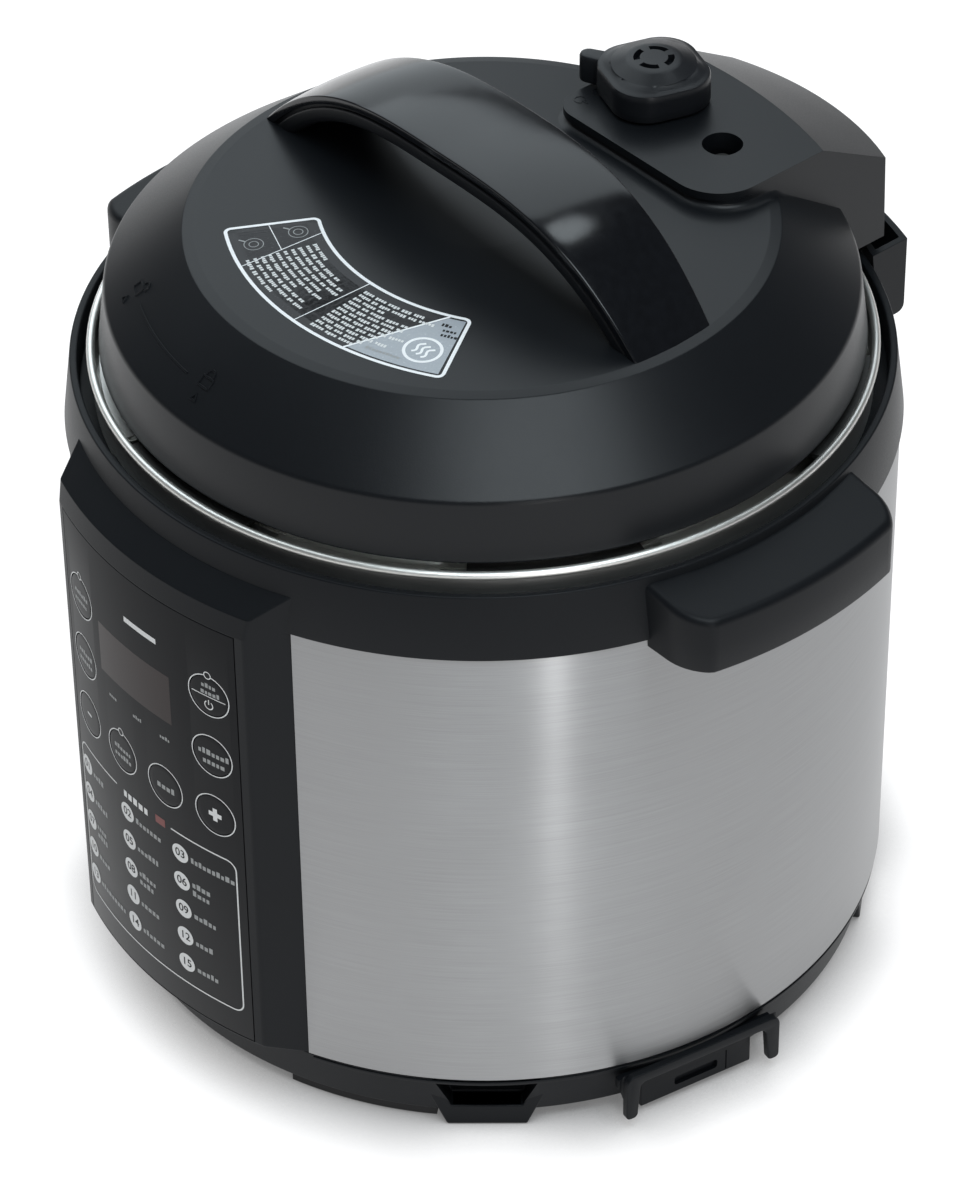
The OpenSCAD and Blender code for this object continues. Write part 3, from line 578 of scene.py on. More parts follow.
def valve():
    cx, cy = KNOB_AT
    n = 160
    reach = [knob_radius(360 * k / n) for k in range(n)]

    def ring(z, inset=0.0, circle=0.0, r=0.0):
        out = []
        for k in range(n):
            a = rad(360 * k / n)
            s = (reach[k] - inset) * (1 - circle) + r * circle
            out.append((cx + s * math.cos(a), cy + s * math.sin(a), z))
        return out

    rings = [ring(299.4, 2.2), ring(299.1, 1.0), ring(299.3, 0.35), ring(300.0, 0.0), ring(303.0, 0.0),
             ring(307.0, 0.05), ring(309.2, 0.12), ring(309.8, 0.45), ring(310.05, 1.0), ring(310.2, 1.7),
             ring(310.7, 2.8, 0.12, 17.6), ring(311.25, 4.0, 0.3, 16.4), ring(311.6, 4.9, 0.6, 15.4)]
    steps = ((15.0, 311.72), (14.8, 311.86), (13.5, 312.25), (13.3, 312.4), (12.0, 312.75), (11.8, 312.9),
             (10.4, 313.25), (10.2, 313.4), (8.6, 313.7), (6.5, 313.9), (3.5, 314.0), (0.2, 314.0))
    rings += [ring(z, 0, 1, r) for r, z in steps]
    knob = loft("valve_knob", rings, "knob", KNOB, sharp=60)
    cutters = []
    for k in range(4):
        a0, a1 = 90 * k + 1.5, 90 * k + 63.5
        outline = arc_points(cx, cy, 7.2, a0, a1, 14) + arc_points(cx, cy, 4.9, a1, a0, 14)
        cutters.append(prism("slot%d" % k, outline, 311.0, 316.0))
    boolean(knob, cutters)
    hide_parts("exhaust_knob")
    tab_outline = fillet([(12, -4.6), (18.2, -3.6), (27.5, -3.1), (27.5, 3.1), (18.2, 3.6), (12, 4.6)],
                         [0, 3, 3, 3, 3, 0], True, 6)
    turn = turned_to(TAB_ANGLE)

    def inset(points, d):
        return [(x - d if x > 20 else x, y - math.copysign(min(d, abs(y)), y)) for x, y in points]

    rings = []
    for z, d in ((299.2, 0.5), (299.6, 0.1), (300.2, 0.0), (309.0, 0.0), (309.7, 0.25), (310.0, 0.8)):
        placed = [turn(x, y, z) for x, y in inset(tab_outline, d)]
        rings.append([(cx + q[0], cy + q[1], q[2]) for q in placed])
    tab = loft("valve_tab", rings, "knob", KNOB, sharp=50)


# ---- body


def steel_jacket():
    profile = fillet(rectangle(144.2, 25.6, JACKET_R, 217.0), 0.25, True, 3)
    ob = revolve("jacket_sheet", profile, "root", STEEL, mid=BACK, half=180 - 23.4, n=384)
    cutter = prism("cut", rectangle(-21.5, 130, 21.5, 160), 33, 63)
    boolean(ob, [cutter])
    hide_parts("steel_jacket")


def collar():
    pts = [(146, 217), (142.9, 241.3), (140.2, 241.3), (140.2, 228.8), (131, 228.8), (131, 226.8),
           (141.7, 226.8), (141.7, 211), (144.0, 211), (144.0, 217)]
    radii = [0.4, 0.7, 0.6, 1.0, 0.5, 0, 0, 0, 0, 0]
    ob = revolve("collar_ring", fillet(pts, radii, True, 4), "root", BODY, n=320)
    cutter = revolve("cut", rectangle(100, 205, 150, 216.9), mid=FRONT, half=23.6, n=320)
    boolean(ob, [cutter])
    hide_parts("collar")


def side_handle(side):
    reach, half, corner, bottom, roof_z = 166.5, 47.0, 20.0, 213.5, 232.0

    def outline(inset):
        pts = rectangle(118, inset - half, reach - inset, half - inset)
        out = []
        for x, y in dense(fillet(pts, [0, corner - inset, corner - inset, 0], True, 16), 4):
            s = min(1.0, (reach - inset) / math.hypot(x, y))
            x, y = x * s, y * s
            out.append((max(x, math.sqrt(GRIP_R ** 2 - y * y)), y))
        return out

    def top_z(x, y):
        return 238.5 - 4.0 * (math.hypot(x, y) - 142.9) / 24.6

    base_ = outline(0)

    def at(inset, z=None, drop=0.0):
        pts = outline(inset)
        if len(pts) != len(base_):
            pts = [(x * (1 - inset / math.hypot(x, y)), y - math.copysign(inset * 0.5, y)) for x, y in base_]
        return [(x, y, z if z is not None else top_z(x, y) - drop) for x, y in pts]

    under = ((3.4, roof_z), (3.4, 214.0), (3.0, bottom), (0.6, bottom), (0.15, 213.75), (0.0, 214.2),
             (0.0, 224.0))
    rings = [at(inset, z) for inset, z in under]
    bull = 2.6
    for k in range(7):
        phi = rad(90 * k / 6)
        rings.append(at(bull * (1 - math.cos(phi)), drop=bull * (1 - math.sin(phi))))
    rings += [at(inset) for inset in (3.4, 6.0, 9.0, 12.0, 15.0)]
    # the last ring closes onto a line beside the collar
    rings.append([(math.sqrt(GRIP_R ** 2 - 0.81 * y * y), y * 0.9, 238.5) for x, y, z in rings[-1]])
    rings = [[(side * x, y, z) for x, y, z in ring] for ring in rings]
    name = "right" if side > 0 else "left"
    ob = loft("grip_" + name, rings, mat=BODY, around=False, caps=False, sharp=45)
    roof = rings[0]
    cap = make("grip_roof_" + name, roof, [tuple(range(len(roof)))], None, BODY)
    ob = join("side_grip_" + name, [ob, cap], "root")
    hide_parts("side_handle_" + name)


def wedge(place, low, high, x0, x1, z0, z1):
    """A block whose half width goes from low at its foot to high at its top."""
    section = [(-low, z0), (low, z0), (high, z1), (-high, z1)]
    return loft("wedge", [[place(x, y, z) for y, z in section] for x in (x0, x1)])


def base():
    outer = [(118, 5.5), (139.5, 5.5), (144.5, 25.0), (144.0, 25.0), (144.0, 31.6), (141.0, 31.6),
             (141.0, 22.0), (128.5, 8.5), (118, 8.5)]
    profile = fillet(outer, [0, 1.2, 0.4, 0, 0, 0, 0, 0, 0], True, 4)
    ob = revolve("base_ring", profile, "root", BODY)
    cutters = [revolve("cut", rectangle(135, 25.1, 150, 50), mid=FRONT, half=23.4)]
    pocket = (12.6, 20.0, 133.0, 150.0, 9.0, 27.0)
    feet = []
    for angle in (-41, 41, 139, -139):
        place = turned_to(angle)
        foot = wedge(place, 14.2, 22.5, 128.6, 140.5, 0, 20)
        boolean(foot, [wedge(place, *pocket)])
        paint(foot, BODY)
        bevel(foot, 0.7, 3, 30)
        weigh(foot)
        bake(foot, 40)
        feet.append(foot)
        cutters.append(wedge(place, *pocket))
    place = turned_to(CLIP_ANGLE)
    for half, z0, z1 in ((24, 0, 15.2), (32.5, 14.8, 20.2)):
        cutters.append(prism("seat", rectangle(140.5, -half, 150, half), z0, z1, place=place))
    boolean(ob, cutters)
    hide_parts("base_shell")
    stand = join("feet", feet, "root")
    # seam below the jacket
    bead = fillet([(143.4, 22.6), (144.55, 22.6), (144.75, 24.2), (143.4, 24.2)], 0.3, True, 3)
    seam = revolve("base_bead", bead, "root", BODY, mid=BACK, half=156.0)
    section = fillet(rectangle(130.5, 0, 137.2, 5.5), 0.8, True, 3)
    pads = [revolve("pad", section, None, FOOT, mid=a, half=11.5) for a in (-60, 60, 120, -120)]
    ob = join("pads", pads, "root")
    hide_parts("foot_pads")


def ladle_holder():
    place = turned_to(CLIP_ANGLE)

    def plate(outline, x0, x1, mat=None):
        """Outline of (side, height) points as a plate between two radii."""
        return loft("plate", [[place(x, y, z) for y, z in outline] for x in (x0, x1)], None, mat)

    hoop = [(-32, 4.6), (-32, 24.5), (32, 24.5), (32, 4.6), (27.4, 4.6), (26.2, 20.5), (-26.2, 20.5),
            (-27.4, 4.6)]
    bar = plate(fillet(hoop, [1.8, 3.6, 3.6, 1.8, 1.8, 2.6, 2.6, 1.8], True, 6), 146.0, 149.0, BODY)
    seat = plate([(-23, 3), (23, 3), (23, 15.1), (32, 15.1), (32, 20), (-32, 20), (-32, 15.1), (-23, 15.1)],
                 140.7, 143.9, BODY)
    for part in (bar, seat):
        bevel(part, 0.5, 3, 40)
    slot = plate(fillet(rectangle(-9, 6.5, 9, 10.5), 1.2, True, 4), 142.2, 146)
    boolean(seat, [slot, plate(rectangle(12.4, 4, 12.9, 13), 143.4, 146)])
    parts = [bar, seat]
    for y0, y1 in ((-32, -29), (29, 32)):
        side = [(143.6, 15.6), (146.3, 13.0), (146.3, 24.4), (143.6, 19.8)]
        arm = loft("arm", [[place(x, y, z) for x, z in side] for y in (y0, y1)], None, BODY)
        bevel(arm, 0.3, 2, 40)
        parts.append(arm)
    ob = join("spoon_clip", parts, "root")
    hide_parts("ladle_holder")


def pots():
    bead = arc_points(135.4, 244.4, 1.5, -80, 260, 17)
    pts = [(22, 54), (105, 54), (115, 64), (115, 229), (135.2, 229)] + bead
    pts += [(134.0, 230.5), (113.5, 230.5), (113.5, 64.6), (104.4, 55.5), (22, 55.5)]
    ob = revolve("pot_housing", pts, "root", BRIGHT, n=320, sharp=40)
    section = fillet(rectangle(126.5, 241.2, 134.2, 243.2), 0.5, True, 3)
    # Painted shade: the lugs get near-black steel for the dark gap between the lid and the rim
    lugs = [revolve("lug", section, None, PAINTED_SHADE_STEEL, mid=60 * i + 30, half=13) for i in range(6)]
    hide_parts("outer_pot")
    ob = join("vessel_lugs", lugs, "root")
    pts = [(0, 72.3), (98.5, 72.3), (106.5, 75.8), (110.5, 84.3), (110.5, 230.9), (118.5, 230.9),
           (118.5, 232.4), (109, 232.4), (109, 84.7), (105.3, 77.1), (98.1, 73.8), (0, 73.8)]
    radii = [0, 8, 8, 8, 0.6, 0.6, 0.6, 1.5, 8, 8, 8, 0]
    ob = revolve("cooking_pot", fillet(pts, radii, True, 5), "pot", BRIGHT)
    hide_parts("inner_pot")
    low = 232.7
    pts = [(113.5, low + 1), (119, low), (121.8, low + 3), (121.8, low + 9), (118.5, low + 9),
           (118.5, low + 4.5), (113.5, low + 4.5)]
    ob = revolve("seal_ring", fillet(pts, 0.9, True, 4), "seal", SILICONE)
    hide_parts("sealing_ring")


# ---- control panel


def plan_ring(r, z):
    """Plan of the panel frame at one level: both side faces, rounded corners and the front arc."""
    corner, side_n, corner_n, arc_n = 1.1, 10, 6, 56
    slope = (63.5 - 44.2) / 40.0

    def side_point(y):
        return np.array((63.5 - slope * (-120.0 - y), y))

    lo, hi = -160.0, -118.0
    for _ in range(50):
        y = (lo + hi) / 2
        lo, hi = (y, hi) if math.hypot(*side_point(y)) > r else (lo, y)
    apex, back = side_point(y), side_point(-129.0)
    span = math.degrees(math.atan2(apex[1], apex[0])) + 90.0 - math.degrees(corner / r)
    a1 = np.array(polar(r, FRONT + span, z)[:2])
    length = np.linalg.norm(back - apex)
    s1 = apex + (back - apex) / length * min(corner, 0.6 * length)
    right = [tuple(back + (s1 - back) * k / side_n) for k in range(side_n)]
    for k in range(corner_n):
        t = k / corner_n
        right.append(tuple((1 - t) ** 2 * s1 + 2 * t * (1 - t) * apex + t * t * a1))
    arc = [polar(r, FRONT + span - 2 * span * k / arc_n, z)[:2] for k in range(arc_n + 1)]
    left = [(-x, y) for x, y in reversed(right)]
    return [(x, y, z) for x, y in right + arc + left]


def panel_frame():
    profile = fillet([(144.0, 25.2), (PANEL_R, 32.3), (PANEL_R, 216.6), (154.2, 224.4), (144.3, 231.3)],
                     [0, 1.0, 0.3, 0.6, 0], False, 5)
    ob = loft("panel_bezel", [plan_ring(r, z) for r, z in dense(profile, 12)], None, BODY, sharp=30)
    recess = revolve("recess", rectangle(154.0, 32.65, 158, 216.35), mid=FRONT, half=17.52, n=720)
    window = revolve("window", rectangle(150, 40, 157, 209), mid=FRONT, half=16.8, n=720)
    boolean(ob, [recess, window])
    paint(ob, BODY)
    smooth(ob, 30)
    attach(ob, "root")
    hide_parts("panel_frame")
    weigh(ob)


def on_face(s, z, out=0.0):
    """Point on the panel's face from arc distance and height."""
    a = rad(FRONT) + s / PANEL_R
    return ((PANEL_R + out) * math.cos(a), (PANEL_R + out) * math.sin(a), z)


KEYS = [(-35.5, 186), (-35.5, 159.6), (-35.5, 133.2), (-12, 133.2),
        (12, 133.2), (35.5, 186), (35.5, 159.6), (35.5, 133.2)]
KEY_R = 8.1


def overlay():
    pts = fillet(rectangle(154.25, 33, PANEL_R, 216), [0, 0.25, 0.25, 0], True, 3)
    ob = revolve("panel_face", pts, None, FILM, mid=FRONT, half=17.35, n=1080)
    cutters = []
    for s, z in KEYS:
        place = turned_to(FRONT + math.degrees(s / PANEL_R))
        hole = arc_points(0, z, KEY_R + 0.3, 0, 352.5, 47)
        cutters.append(loft("hole", [[place(r, u, w) for u, w in hole] for r in (150, 160)]))
    boolean(ob, cutters)
    smooth(ob, 25)
    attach(ob, "root")
    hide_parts("panel_overlay")
    section = ((0.02, 0), (3, 0), (6, 0), (7.7, 0), (7.95, -0.06), (KEY_R, -0.2), (KEY_R, -1.35),
               (7, -1.35), (0.02, -1.35))
    for i, (s, z) in enumerate(KEYS):
        rings = [[on_face(u, w, d) for u, w in arc_points(s, z, r, 0, 354, 59)] for r, d in section]
        cap = loft("key_cap_%d" % (i + 1), rings, "cap_%d" % (i + 1), FILM, sharp=40)
        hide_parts("key_%d" % (i + 1))


class Sheet:
    """Collects flat graphics and lays them on a surface as one thin raised mesh."""

    def __init__(self, place):
        self.place, self.verts, self.faces, self.mats, self.slots = place, [], [], [], []

    def _mat(self, mat):
        if mat not in self.mats:
            self.mats.append(mat)
        return self.mats.index(mat)

    def quad_strip(self, left, right, mat, lift=0.0):
        start = len(self.verts)
        k = self._mat(mat)
        for a, b in zip(left, right):
            self.verts += [self.place(*a, lift), self.place(*b, lift)]
        for i in range(len(left) - 1):
            j = start + 2 * i
            self.faces.append((j, j + 1, j + 3, j + 2))
            self.slots.append(k)

    def line(self, points, width, mat, closed=False, step=1.5, lift=0.0):
        pts = dense(list(points) + ([points[0]] if closed else []), step)
        offsets = [(nx * width / 2, ny * width / 2) for nx, ny in normals(pts, closed)]
        left = [(p[0] + o[0], p[1] + o[1]) for p, o in zip(pts, offsets)]
        right = [(p[0] - o[0], p[1] - o[1]) for p, o in zip(pts, offsets)]
        self.quad_strip(left, right, mat, lift)

    def ring(self, s, z, r, width, mat, a0=0, a1=360, lift=0.0):
        n = max(8, int(abs(a1 - a0) / 7.5))
        edges = [arc_points(s, z, r + side * width / 2, a0, a1, n) for side in (1, -1)]
        self.quad_strip(*edges, mat, lift)

    def disc(self, s, z, r, mat, lift=0.0):
        self.ring(s, z, r / 2, r * 0.98, mat, lift=lift)

    def box(self, s, z, w, h, mat, lift=0.0, turn=0.0):
        ca, sa = math.cos(rad(turn)), math.sin(rad(turn))
        n = max(1, int(w / 2.0))
        top, low = [], []
        for k in range(n + 1):
            u = -w / 2 + w * k / n
            for row, v in ((top, h / 2), (low, -h / 2)):
                row.append((s + u * ca - v * sa, z + u * sa + v * ca))
        self.quad_strip(top, low, mat, lift)

    def words(self, s, z, count, size, mat, rng, turn=0.0, lift=0.0):
        """A row of small blocks that stands for a line of lettering; s is its left end."""
        ca, sa = math.cos(rad(turn)), math.sin(rad(turn))
        u = 0.0
        for _ in range(count):
            w = size * rng.uniform(0.42, 0.66)
            h = size * rng.choice((0.72, 0.72, 0.8, 1.0))
            cu, cv = u + w / 2, (h - size * 0.72) / 2
            self.box(s + cu * ca - cv * sa, z + cu * sa + cv * ca, w, h * 0.92, mat, lift, turn)
            u += w + size * 0.22

    def number(self, s, z, text, size, mat, lift=0.0):
        """Digits from Blender's own typeface, laid flat."""
        curve = bpy.data.curves.new("digits", "FONT")
        curve.body = text
        curve.size = size
        curve.align_x = "CENTER"
        curve.align_y = "CENTER"
        curve.offset = size * 0.012
        tmp = add_object("digits", curve)
        bpy.context.view_layer.update()
        me = bpy.data.meshes.new_from_object(tmp.evaluated_get(bpy.context.evaluated_depsgraph_get()))
        start = len(self.verts)
        k = self._mat(mat)
        self.verts += [self.place(s + v.co.x, z + v.co.y, lift) for v in me.vertices]
        for f in me.polygons:
            self.faces.append(tuple(start + i for i in f.vertices))
            self.slots.append(k)
        bpy.data.objects.remove(tmp)
        bpy.data.meshes.remove(me)
        bpy.data.curves.remove(curve)

    def finish(self, name, body):
        ob = make(name, self.verts, self.faces, None, None, merge=False)
        for m in self.mats:
            ob.data.materials.append(m)
        ob.data.polygons.foreach_set("material_index", self.slots)
        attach(ob, body)
        return ob


def power_icon(sheet, s, z, r, w, mat):
    sheet.ring(s, z, r, w, mat, 125, 415)
    sheet.line([(s, z + 0.1 * r), (s, z + 1.35 * r)], w, mat)


def panel_graphics():
    rng = random.Random(7)
    face = Sheet(lambda s, z, lift=0.0: on_face(s, z, 0.05 + lift))
    for i, (s, z) in enumerate(KEYS):
        face.ring(s, z, 8.62, 0.42, PRINT)
        if i in (0, 3, 5):
            face.disc(s, z + 8.9, 1.5, FILM, lift=0.02)
            face.ring(s, z + 8.9, 1.4, 0.38, PRINT, lift=0.03)
    for s in (-15.7, -1.2, 13.3):
        face.words(s - 2.2, 155.2, 4, 1.7, FAINT, rng)
    face.box(3.5, 196.9, 17, 2.2, PRINT)
    # menu frame
    box = fillet([(13.7, 114.8), (43.4, 114.8), (43.4, 44.6), (-45.6, 44.6), (-45.6, 114.8), (-17.4, 114.8)],
                 [0, 4, 4, 4, 4, 0], False, 6)
    face.line(box, 0.6, PRINT)
    face.words(-12.8, 114.0, 5, 4.2, PRINT, rng)
    face.box(8.2, 114.8, 5.0, 3.4, ACCENT)
    lengths = ((4, 5, 4, 4, 9), (7, 6, 5, 5, 6), (10, 4, 5, 4, 5))
    two_lines = ((0, 2), (1, 2), (2, 1))
    for r, z in enumerate((105.8, 93.0, 79.9, 67.1, 54.4)):
        for c, s in enumerate((-41.3, -11.4, 17.7)):
            two = (c, r) in two_lines
            face.disc(s, z, 3.9, PRINT)
            face.number(s, z, "%02d" % (3 * r + c + 1), 4.9, FILM, lift=0.03)
            face.words(s + 5.2, z + (0.9 if two else -0.6), lengths[c][r], 2.7, FAINT, rng)
            if two:
                face.words(s + 5.2, z - 2.9, 4, 2.7, FAINT, rng)
    face.finish("panel_print", "root")
    window = Sheet(lambda s, z, lift=0.0: on_face(s, z, 0.02 + lift))
    across = [-22.5 + k for k in range(41)]
    window.quad_strip([(u, 184.5) for u in across], [(u, 163.5) for u in across], WINDOW)
    window.finish("display_window", "root")
    for i, (s, z) in enumerate(KEYS):
        cap = Sheet(lambda u, w, lift=0.0: on_face(u, w, 0.05 + lift))
        if i == 2:
            cap.box(s, z, 3.4, 0.9, PRINT)
        elif i == 7:
            cap.box(s, z, 5.6, 1.9, PRINT)
            cap.box(s, z, 1.9, 5.6, PRINT)
        elif i == 5:
            cap.line([(s - 7.2, z - 0.3), (s + 7.2, z - 0.3)], 0.36, PRINT)
            cap.words(s - 2.8, z + 4.0, 4, 2.1, FAINT, rng)
            cap.words(s - 3.2, z + 1.1, 5, 2.1, FAINT, rng)
            power_icon(cap, s, z - 4.0, 1.7, 0.42, PRINT)
        elif i == 6:
            cap.words(s - 5.8, z + 0.6, 7, 2.6, FAINT, rng)
            cap.words(s - 4.0, z - 3.4, 5, 2.6, FAINT, rng)
        elif i == 4:
            cap.words(s - 3.9, z - 1.0, 4, 2.8, FAINT, rng)
        else:
            cap.words(s - 4.6, z + 0.8, 6, 2.2, FAINT, rng)
            cap.words(s - 4.6, z - 2.8, 6, 2.2, FAINT, rng)
        cap.finish("key_print_%d" % (i + 1), "cap_%d" % (i + 1))


# ---- label, marks and rear parts


def label():
    """Sticker on the lid's top, drawn on a polar grid of arc angle t and radius r about its own centre."""
    rng = random.Random(11)
    a0, a1, r0, r1 = -121.4, -57.8, 75.0, 107.0
    sheet = Sheet(lambda x, y, lift=0.0: (x, y, lid_z(math.hypot(x, y)) + 0.10 + lift))

    def xy(t, r):
        return (LABEL_AT[0] + r * math.cos(rad(t)), LABEL_AT[1] + r * math.sin(rad(t)))

    def area(t0, t1, ra, rb, mat, lift, slant=0.0):
        """Filled cell of the grid; slant moves the inner end of its first side."""
        n, steps = 40, 8
        inner = [xy(t0 + slant + (t1 - t0 - slant) * k / n, ra) for k in range(n + 1)]
        outer = [xy(t0 + (t1 - t0) * k / n, rb) for k in range(n + 1)]

        def between(a, c, q):
            return tuple(np.array(a) + (np.array(c) - np.array(a)) * q / steps)

        for a, b, c, d in zip(inner, inner[1:], outer, outer[1:]):
            for q in range(steps):
                sheet.quad_strip([between(a, c, q), between(b, d, q)],
                                 [between(a, c, q + 1), between(b, d, q + 1)], mat, lift)

    area(a0 + 1.6, a1 - 1.6, r0 + 0.9, r1 - 0.9, DARK_FILM, 0.0)
    area(a0 + 0.7, a1 - 0.7, r0 + 4.0, r1 - 4.0, DARK_FILM, 0.0)
    area(-77.5, a1 - 0.9, r0 + 1.4, r1 - 1.4, GREY_FILM, 0.03, 14.2)
    # outline: the arcs stop short of the corners, which leaves room to round them
    border = [xy(a0, r0)] + [xy(a0 + 3.4 + (a1 - a0 - 6.8) * k / 24, r0) for k in range(25)]
    border += [xy(a1, r0), xy(a1, r1)]
    border += [xy(a1 - 2.4 + (a0 - a1 + 4.8) * k / 30, r1) for k in range(31)] + [xy(a0, r1)]
    radii = [9.0 if k in (0, 26, 27, len(border) - 1) else 0.0 for k in range(len(border))]
    sheet.line(fillet(border, radii, True, 8), 1.25, WHITE_FILM, closed=True, lift=0.05)
    # dividers
    for t_in, t_out, w in ((-114.6, -109.2, 0.35), (-88.4, -89.8, 0.35), (-63.2, -77.6, 0.7)):
        sheet.line([xy(t_in, r0 + 0.6), xy(t_out, r1 - 0.6)], w, WHITE_FILM, lift=0.045)
    sheet.line([xy(a0 + 0.5, 92.0), xy(-111.2, 91.0)], 0.3, WHITE_FILM, lift=0.045)
    # two small valve pictures
    for t, r in ((-116.8, 83.0), (-115.2, 99.0)):
        x, y = xy(t, r)
        sheet.ring(x, y, 3.3, 0.3, FAINT, lift=0.05)
        sheet.ring(x, y, 1.6, 0.3, FAINT, lift=0.05)
        sheet.line([(x - 3.2, y - 1.2), (x - 5.4, y - 2.2)], 0.6, FAINT, lift=0.05)

    def text_rows(t0, t1, fill):
        """Rows of blocks that stand for lines of print; fill is each row's share of the width."""
        first, last = 79.0, 103.0
        for k, share in enumerate(fill):
            r = first + (last - first) * k / (len(fill) - 1)
            t = t0
            while t < t0 + (t1 - t0) * share:
                w = rng.uniform(2.4, 6.0)
                span = math.degrees(w / r)
                steps = max(2, int(w))
                for j in range(steps):
                    ta, tb = t + span * j / steps, t + span * (j + 0.76) / steps
                    h = rng.choice((1.15, 1.15, 1.45))
                    sheet.quad_strip([xy(ta, r), xy(tb, r)], [xy(ta, r + h), xy(tb, r + h)], PRINT, 0.05)
                t += span + math.degrees(0.9 / r)

    text_rows(-110.6, -91.5, (0.42, 0.8, 1.0, 0.95, 0.85, 0.98, 0.55, 0.9, 0.97, 0.6))
    text_rows(-86.8, -68.0, (0.98, 1.0, 0.5, 0.86, 0.9, 0.8, 0.84, 0.7, 0.74, 0.6, 0.4))
    # round symbol in the grey cell: a plain hot-surface mark of three waves
    x, y = 45.2, -64.2
    sheet.disc(x, y, 6.0, GREY_FILM, lift=0.04)
    sheet.ring(x, y, 6.3, 1.1, WHITE_FILM, lift=0.06)
    for k in (-1, 0, 1):
        wave = [(x + 2.3 * k + 0.7 * math.sin(q * 0.9), y - 3.0 + q * 0.75) for q in range(9)]
        sheet.line(wave, 0.9, WHITE_FILM, lift=0.06, step=0.6)
    for t, r, c in ((-63.8, 80.6, 3), (-62.8, 83.2, 4), (-62.6, 85.8, 5)):
        sheet.words(*xy(t, r), c, 1.7, FILM, rng, turn=t + 90, lift=0.05)
    sheet.words(*xy(-74.2, 102.5), 10, 1.7, FAINT, rng, turn=20, lift=0.05)
    ob = sheet.finish("lid_sticker", "lid")
    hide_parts("lid_label")


def cone_marks():
    """Raised lock marks on the lid's cone and small marks on the deck."""
    verts, faces = [], []

    def ribbon(points, width, height, place):
        pts = dense(points, 1.2)
        start = len(verts)
        for p, (nx, ny) in zip(pts, normals(pts)):
            for share, h in ((0.5, -0.1), (0.3, height), (-0.3, height), (-0.5, -0.1)):
                verts.append(place(p[0] + nx * width * share, p[1] + ny * width * share, h))
        for i in range(start, len(verts) - 4, 4):
            for k in range(4):
                j = (k + 1) % 4
                faces.append((i + k, i + j, i + 4 + j, i + 4 + k))
        faces.append(tuple(start + k for k in (3, 2, 1, 0)))
        faces.append(tuple(len(verts) - 4 + k for k in range(4)))

    (lip_r, lip_z), (edge_r, edge_z) = CROWN[-3], CROWN[-2]
    slope = math.hypot(edge_r - lip_r, lip_z - edge_z)
    nr, nz = (lip_z - edge_z) / slope, (edge_r - lip_r) / slope

    def on_cone(mid):
        def place(u, w, h):
            r = 118.0 - w * nz
            return polar(r + h * nr, mid + math.degrees(u / r), lid_z(r) + h * nz)
        return place

    def lock(mid, opened):
        place = on_cone(mid)
        box = [(-2.6, -1.6), (2.6, -1.6), (2.6, 2.0), (-2.6, 2.0), (-2.6, -1.6)]
        ribbon(box, 1.0, 0.45, place)
        shift = 2.2 if opened else 0.0
        hoop = [(shift + 1.7 * math.cos(rad(t)), 3.0 + 1.9 * math.sin(rad(t))) for t in range(0, 181, 20)]
        ribbon([(shift + 1.7, 1.9)] + hoop + ([] if opened else [(-1.7, 1.9)]), 0.9, 0.45, place)
        ribbon([(-1.4, -7.0), (0, -4.6), (1.4, -7.0), (-1.4, -7.0)], 0.9, 0.45, place)

    lock(-120.4, True)
    lock(-91.2, False)
    ribbon([(1.2 * k - 22.0, -1.2) for k in range(37)], 0.9, 0.4, on_cone(-105.8))

    def on_deck(x, y, h):
        return (x, y, DECK_TOP + h)

    for x, y in ((-25.0, 66.5), (-24.5, 74.5)):
        ribbon(arc_points(x, y, 2.0, 20, 340, 16), 0.5, 0.2, on_deck)
        ribbon([(x + 1.2, y), (x + 3.6, y + 0.4)], 0.6, 0.2, on_deck)
    ob = make("lid_marks", verts, faces, "lid", LID, sharp=30)


def dew_cup():
    """Cup between end walls square to X, with a finger notch in its outer wall."""
    def form(name, points, half_w, radius):
        prof = fillet(points, radius, True, 4)
        spots = [-half_w + 2 * half_w * k / 40 for k in range(41)]
        return loft(name, [[(x, math.sqrt(r * r - x * x), z) for r, z in prof] for x in spots])

    outer = form("dew_cup", [(147.2, 212), (160, 212), (160, 243), (144.2, 243), (147.2, 217)], 55.5,
                 [1.5, 3.0, 0, 0, 0])
    inner = form("hollow", [(149.7, 214.5), (157.5, 214.5), (157.5, 250), (146.7, 250), (146.7, 243),
                            (149.7, 217.6)], 53.0, [1, 2, 0, 0, 0, 0])
    notch = revolve("notch", rectangle(155, 233, 163, 246), mid=BACK, half=14)
    boolean(outer, [inner, notch])
    paint(outer, BODY)
    bevel(outer, 0.9, 3, 35)
    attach(outer, "dew_tray")
    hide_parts("dew_collector")
    weigh(outer)


def inlet():
    def wall(name, outline, y0, y1):
        return prism(name, outline, y0, y1, place=back_facing)

    block = wall("plate", fillet(rectangle(-24, 30, 24, 66), 4, True, 6), 141.0, 148.0)
    drum = revolve("drum", rectangle(100, 20, JACKET_R + 0.05, 80), mid=BACK, half=20, n=360)
    boolean(block, [drum])
    boolean(block, [wall("case", rectangle(-21, 33.5, 21, 62.5), 128.5, 146.5)], "UNION")
    mouth = fillet([(-13.5, 39), (13.5, 39), (13.5, 53), (9.5, 58), (-9.5, 58), (-13.5, 53)],
                   [1.5, 1.5, 1, 1, 1, 1], True, 4)
    boolean(block, [wall("cavity", mouth, 131, 156)])
    paint(block, BODY)
    bevel(block, 0.6, 3, 35)
    weigh(block)
    bake(block, 40)
    pins = []
    for x, z in ((-7, 46), (0, 50), (7, 46)):
        pin = wall("pin", fillet(rectangle(x - 1, z - 2, x + 1, z + 2), 0.3, True, 2), 130, 144)
        paint(pin, SCREW)
        bevel(pin, 0.3, 2, 40)
        pins.append(pin)
    ob = join("power_socket", [block] + pins, "root")
    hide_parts("mains_inlet")


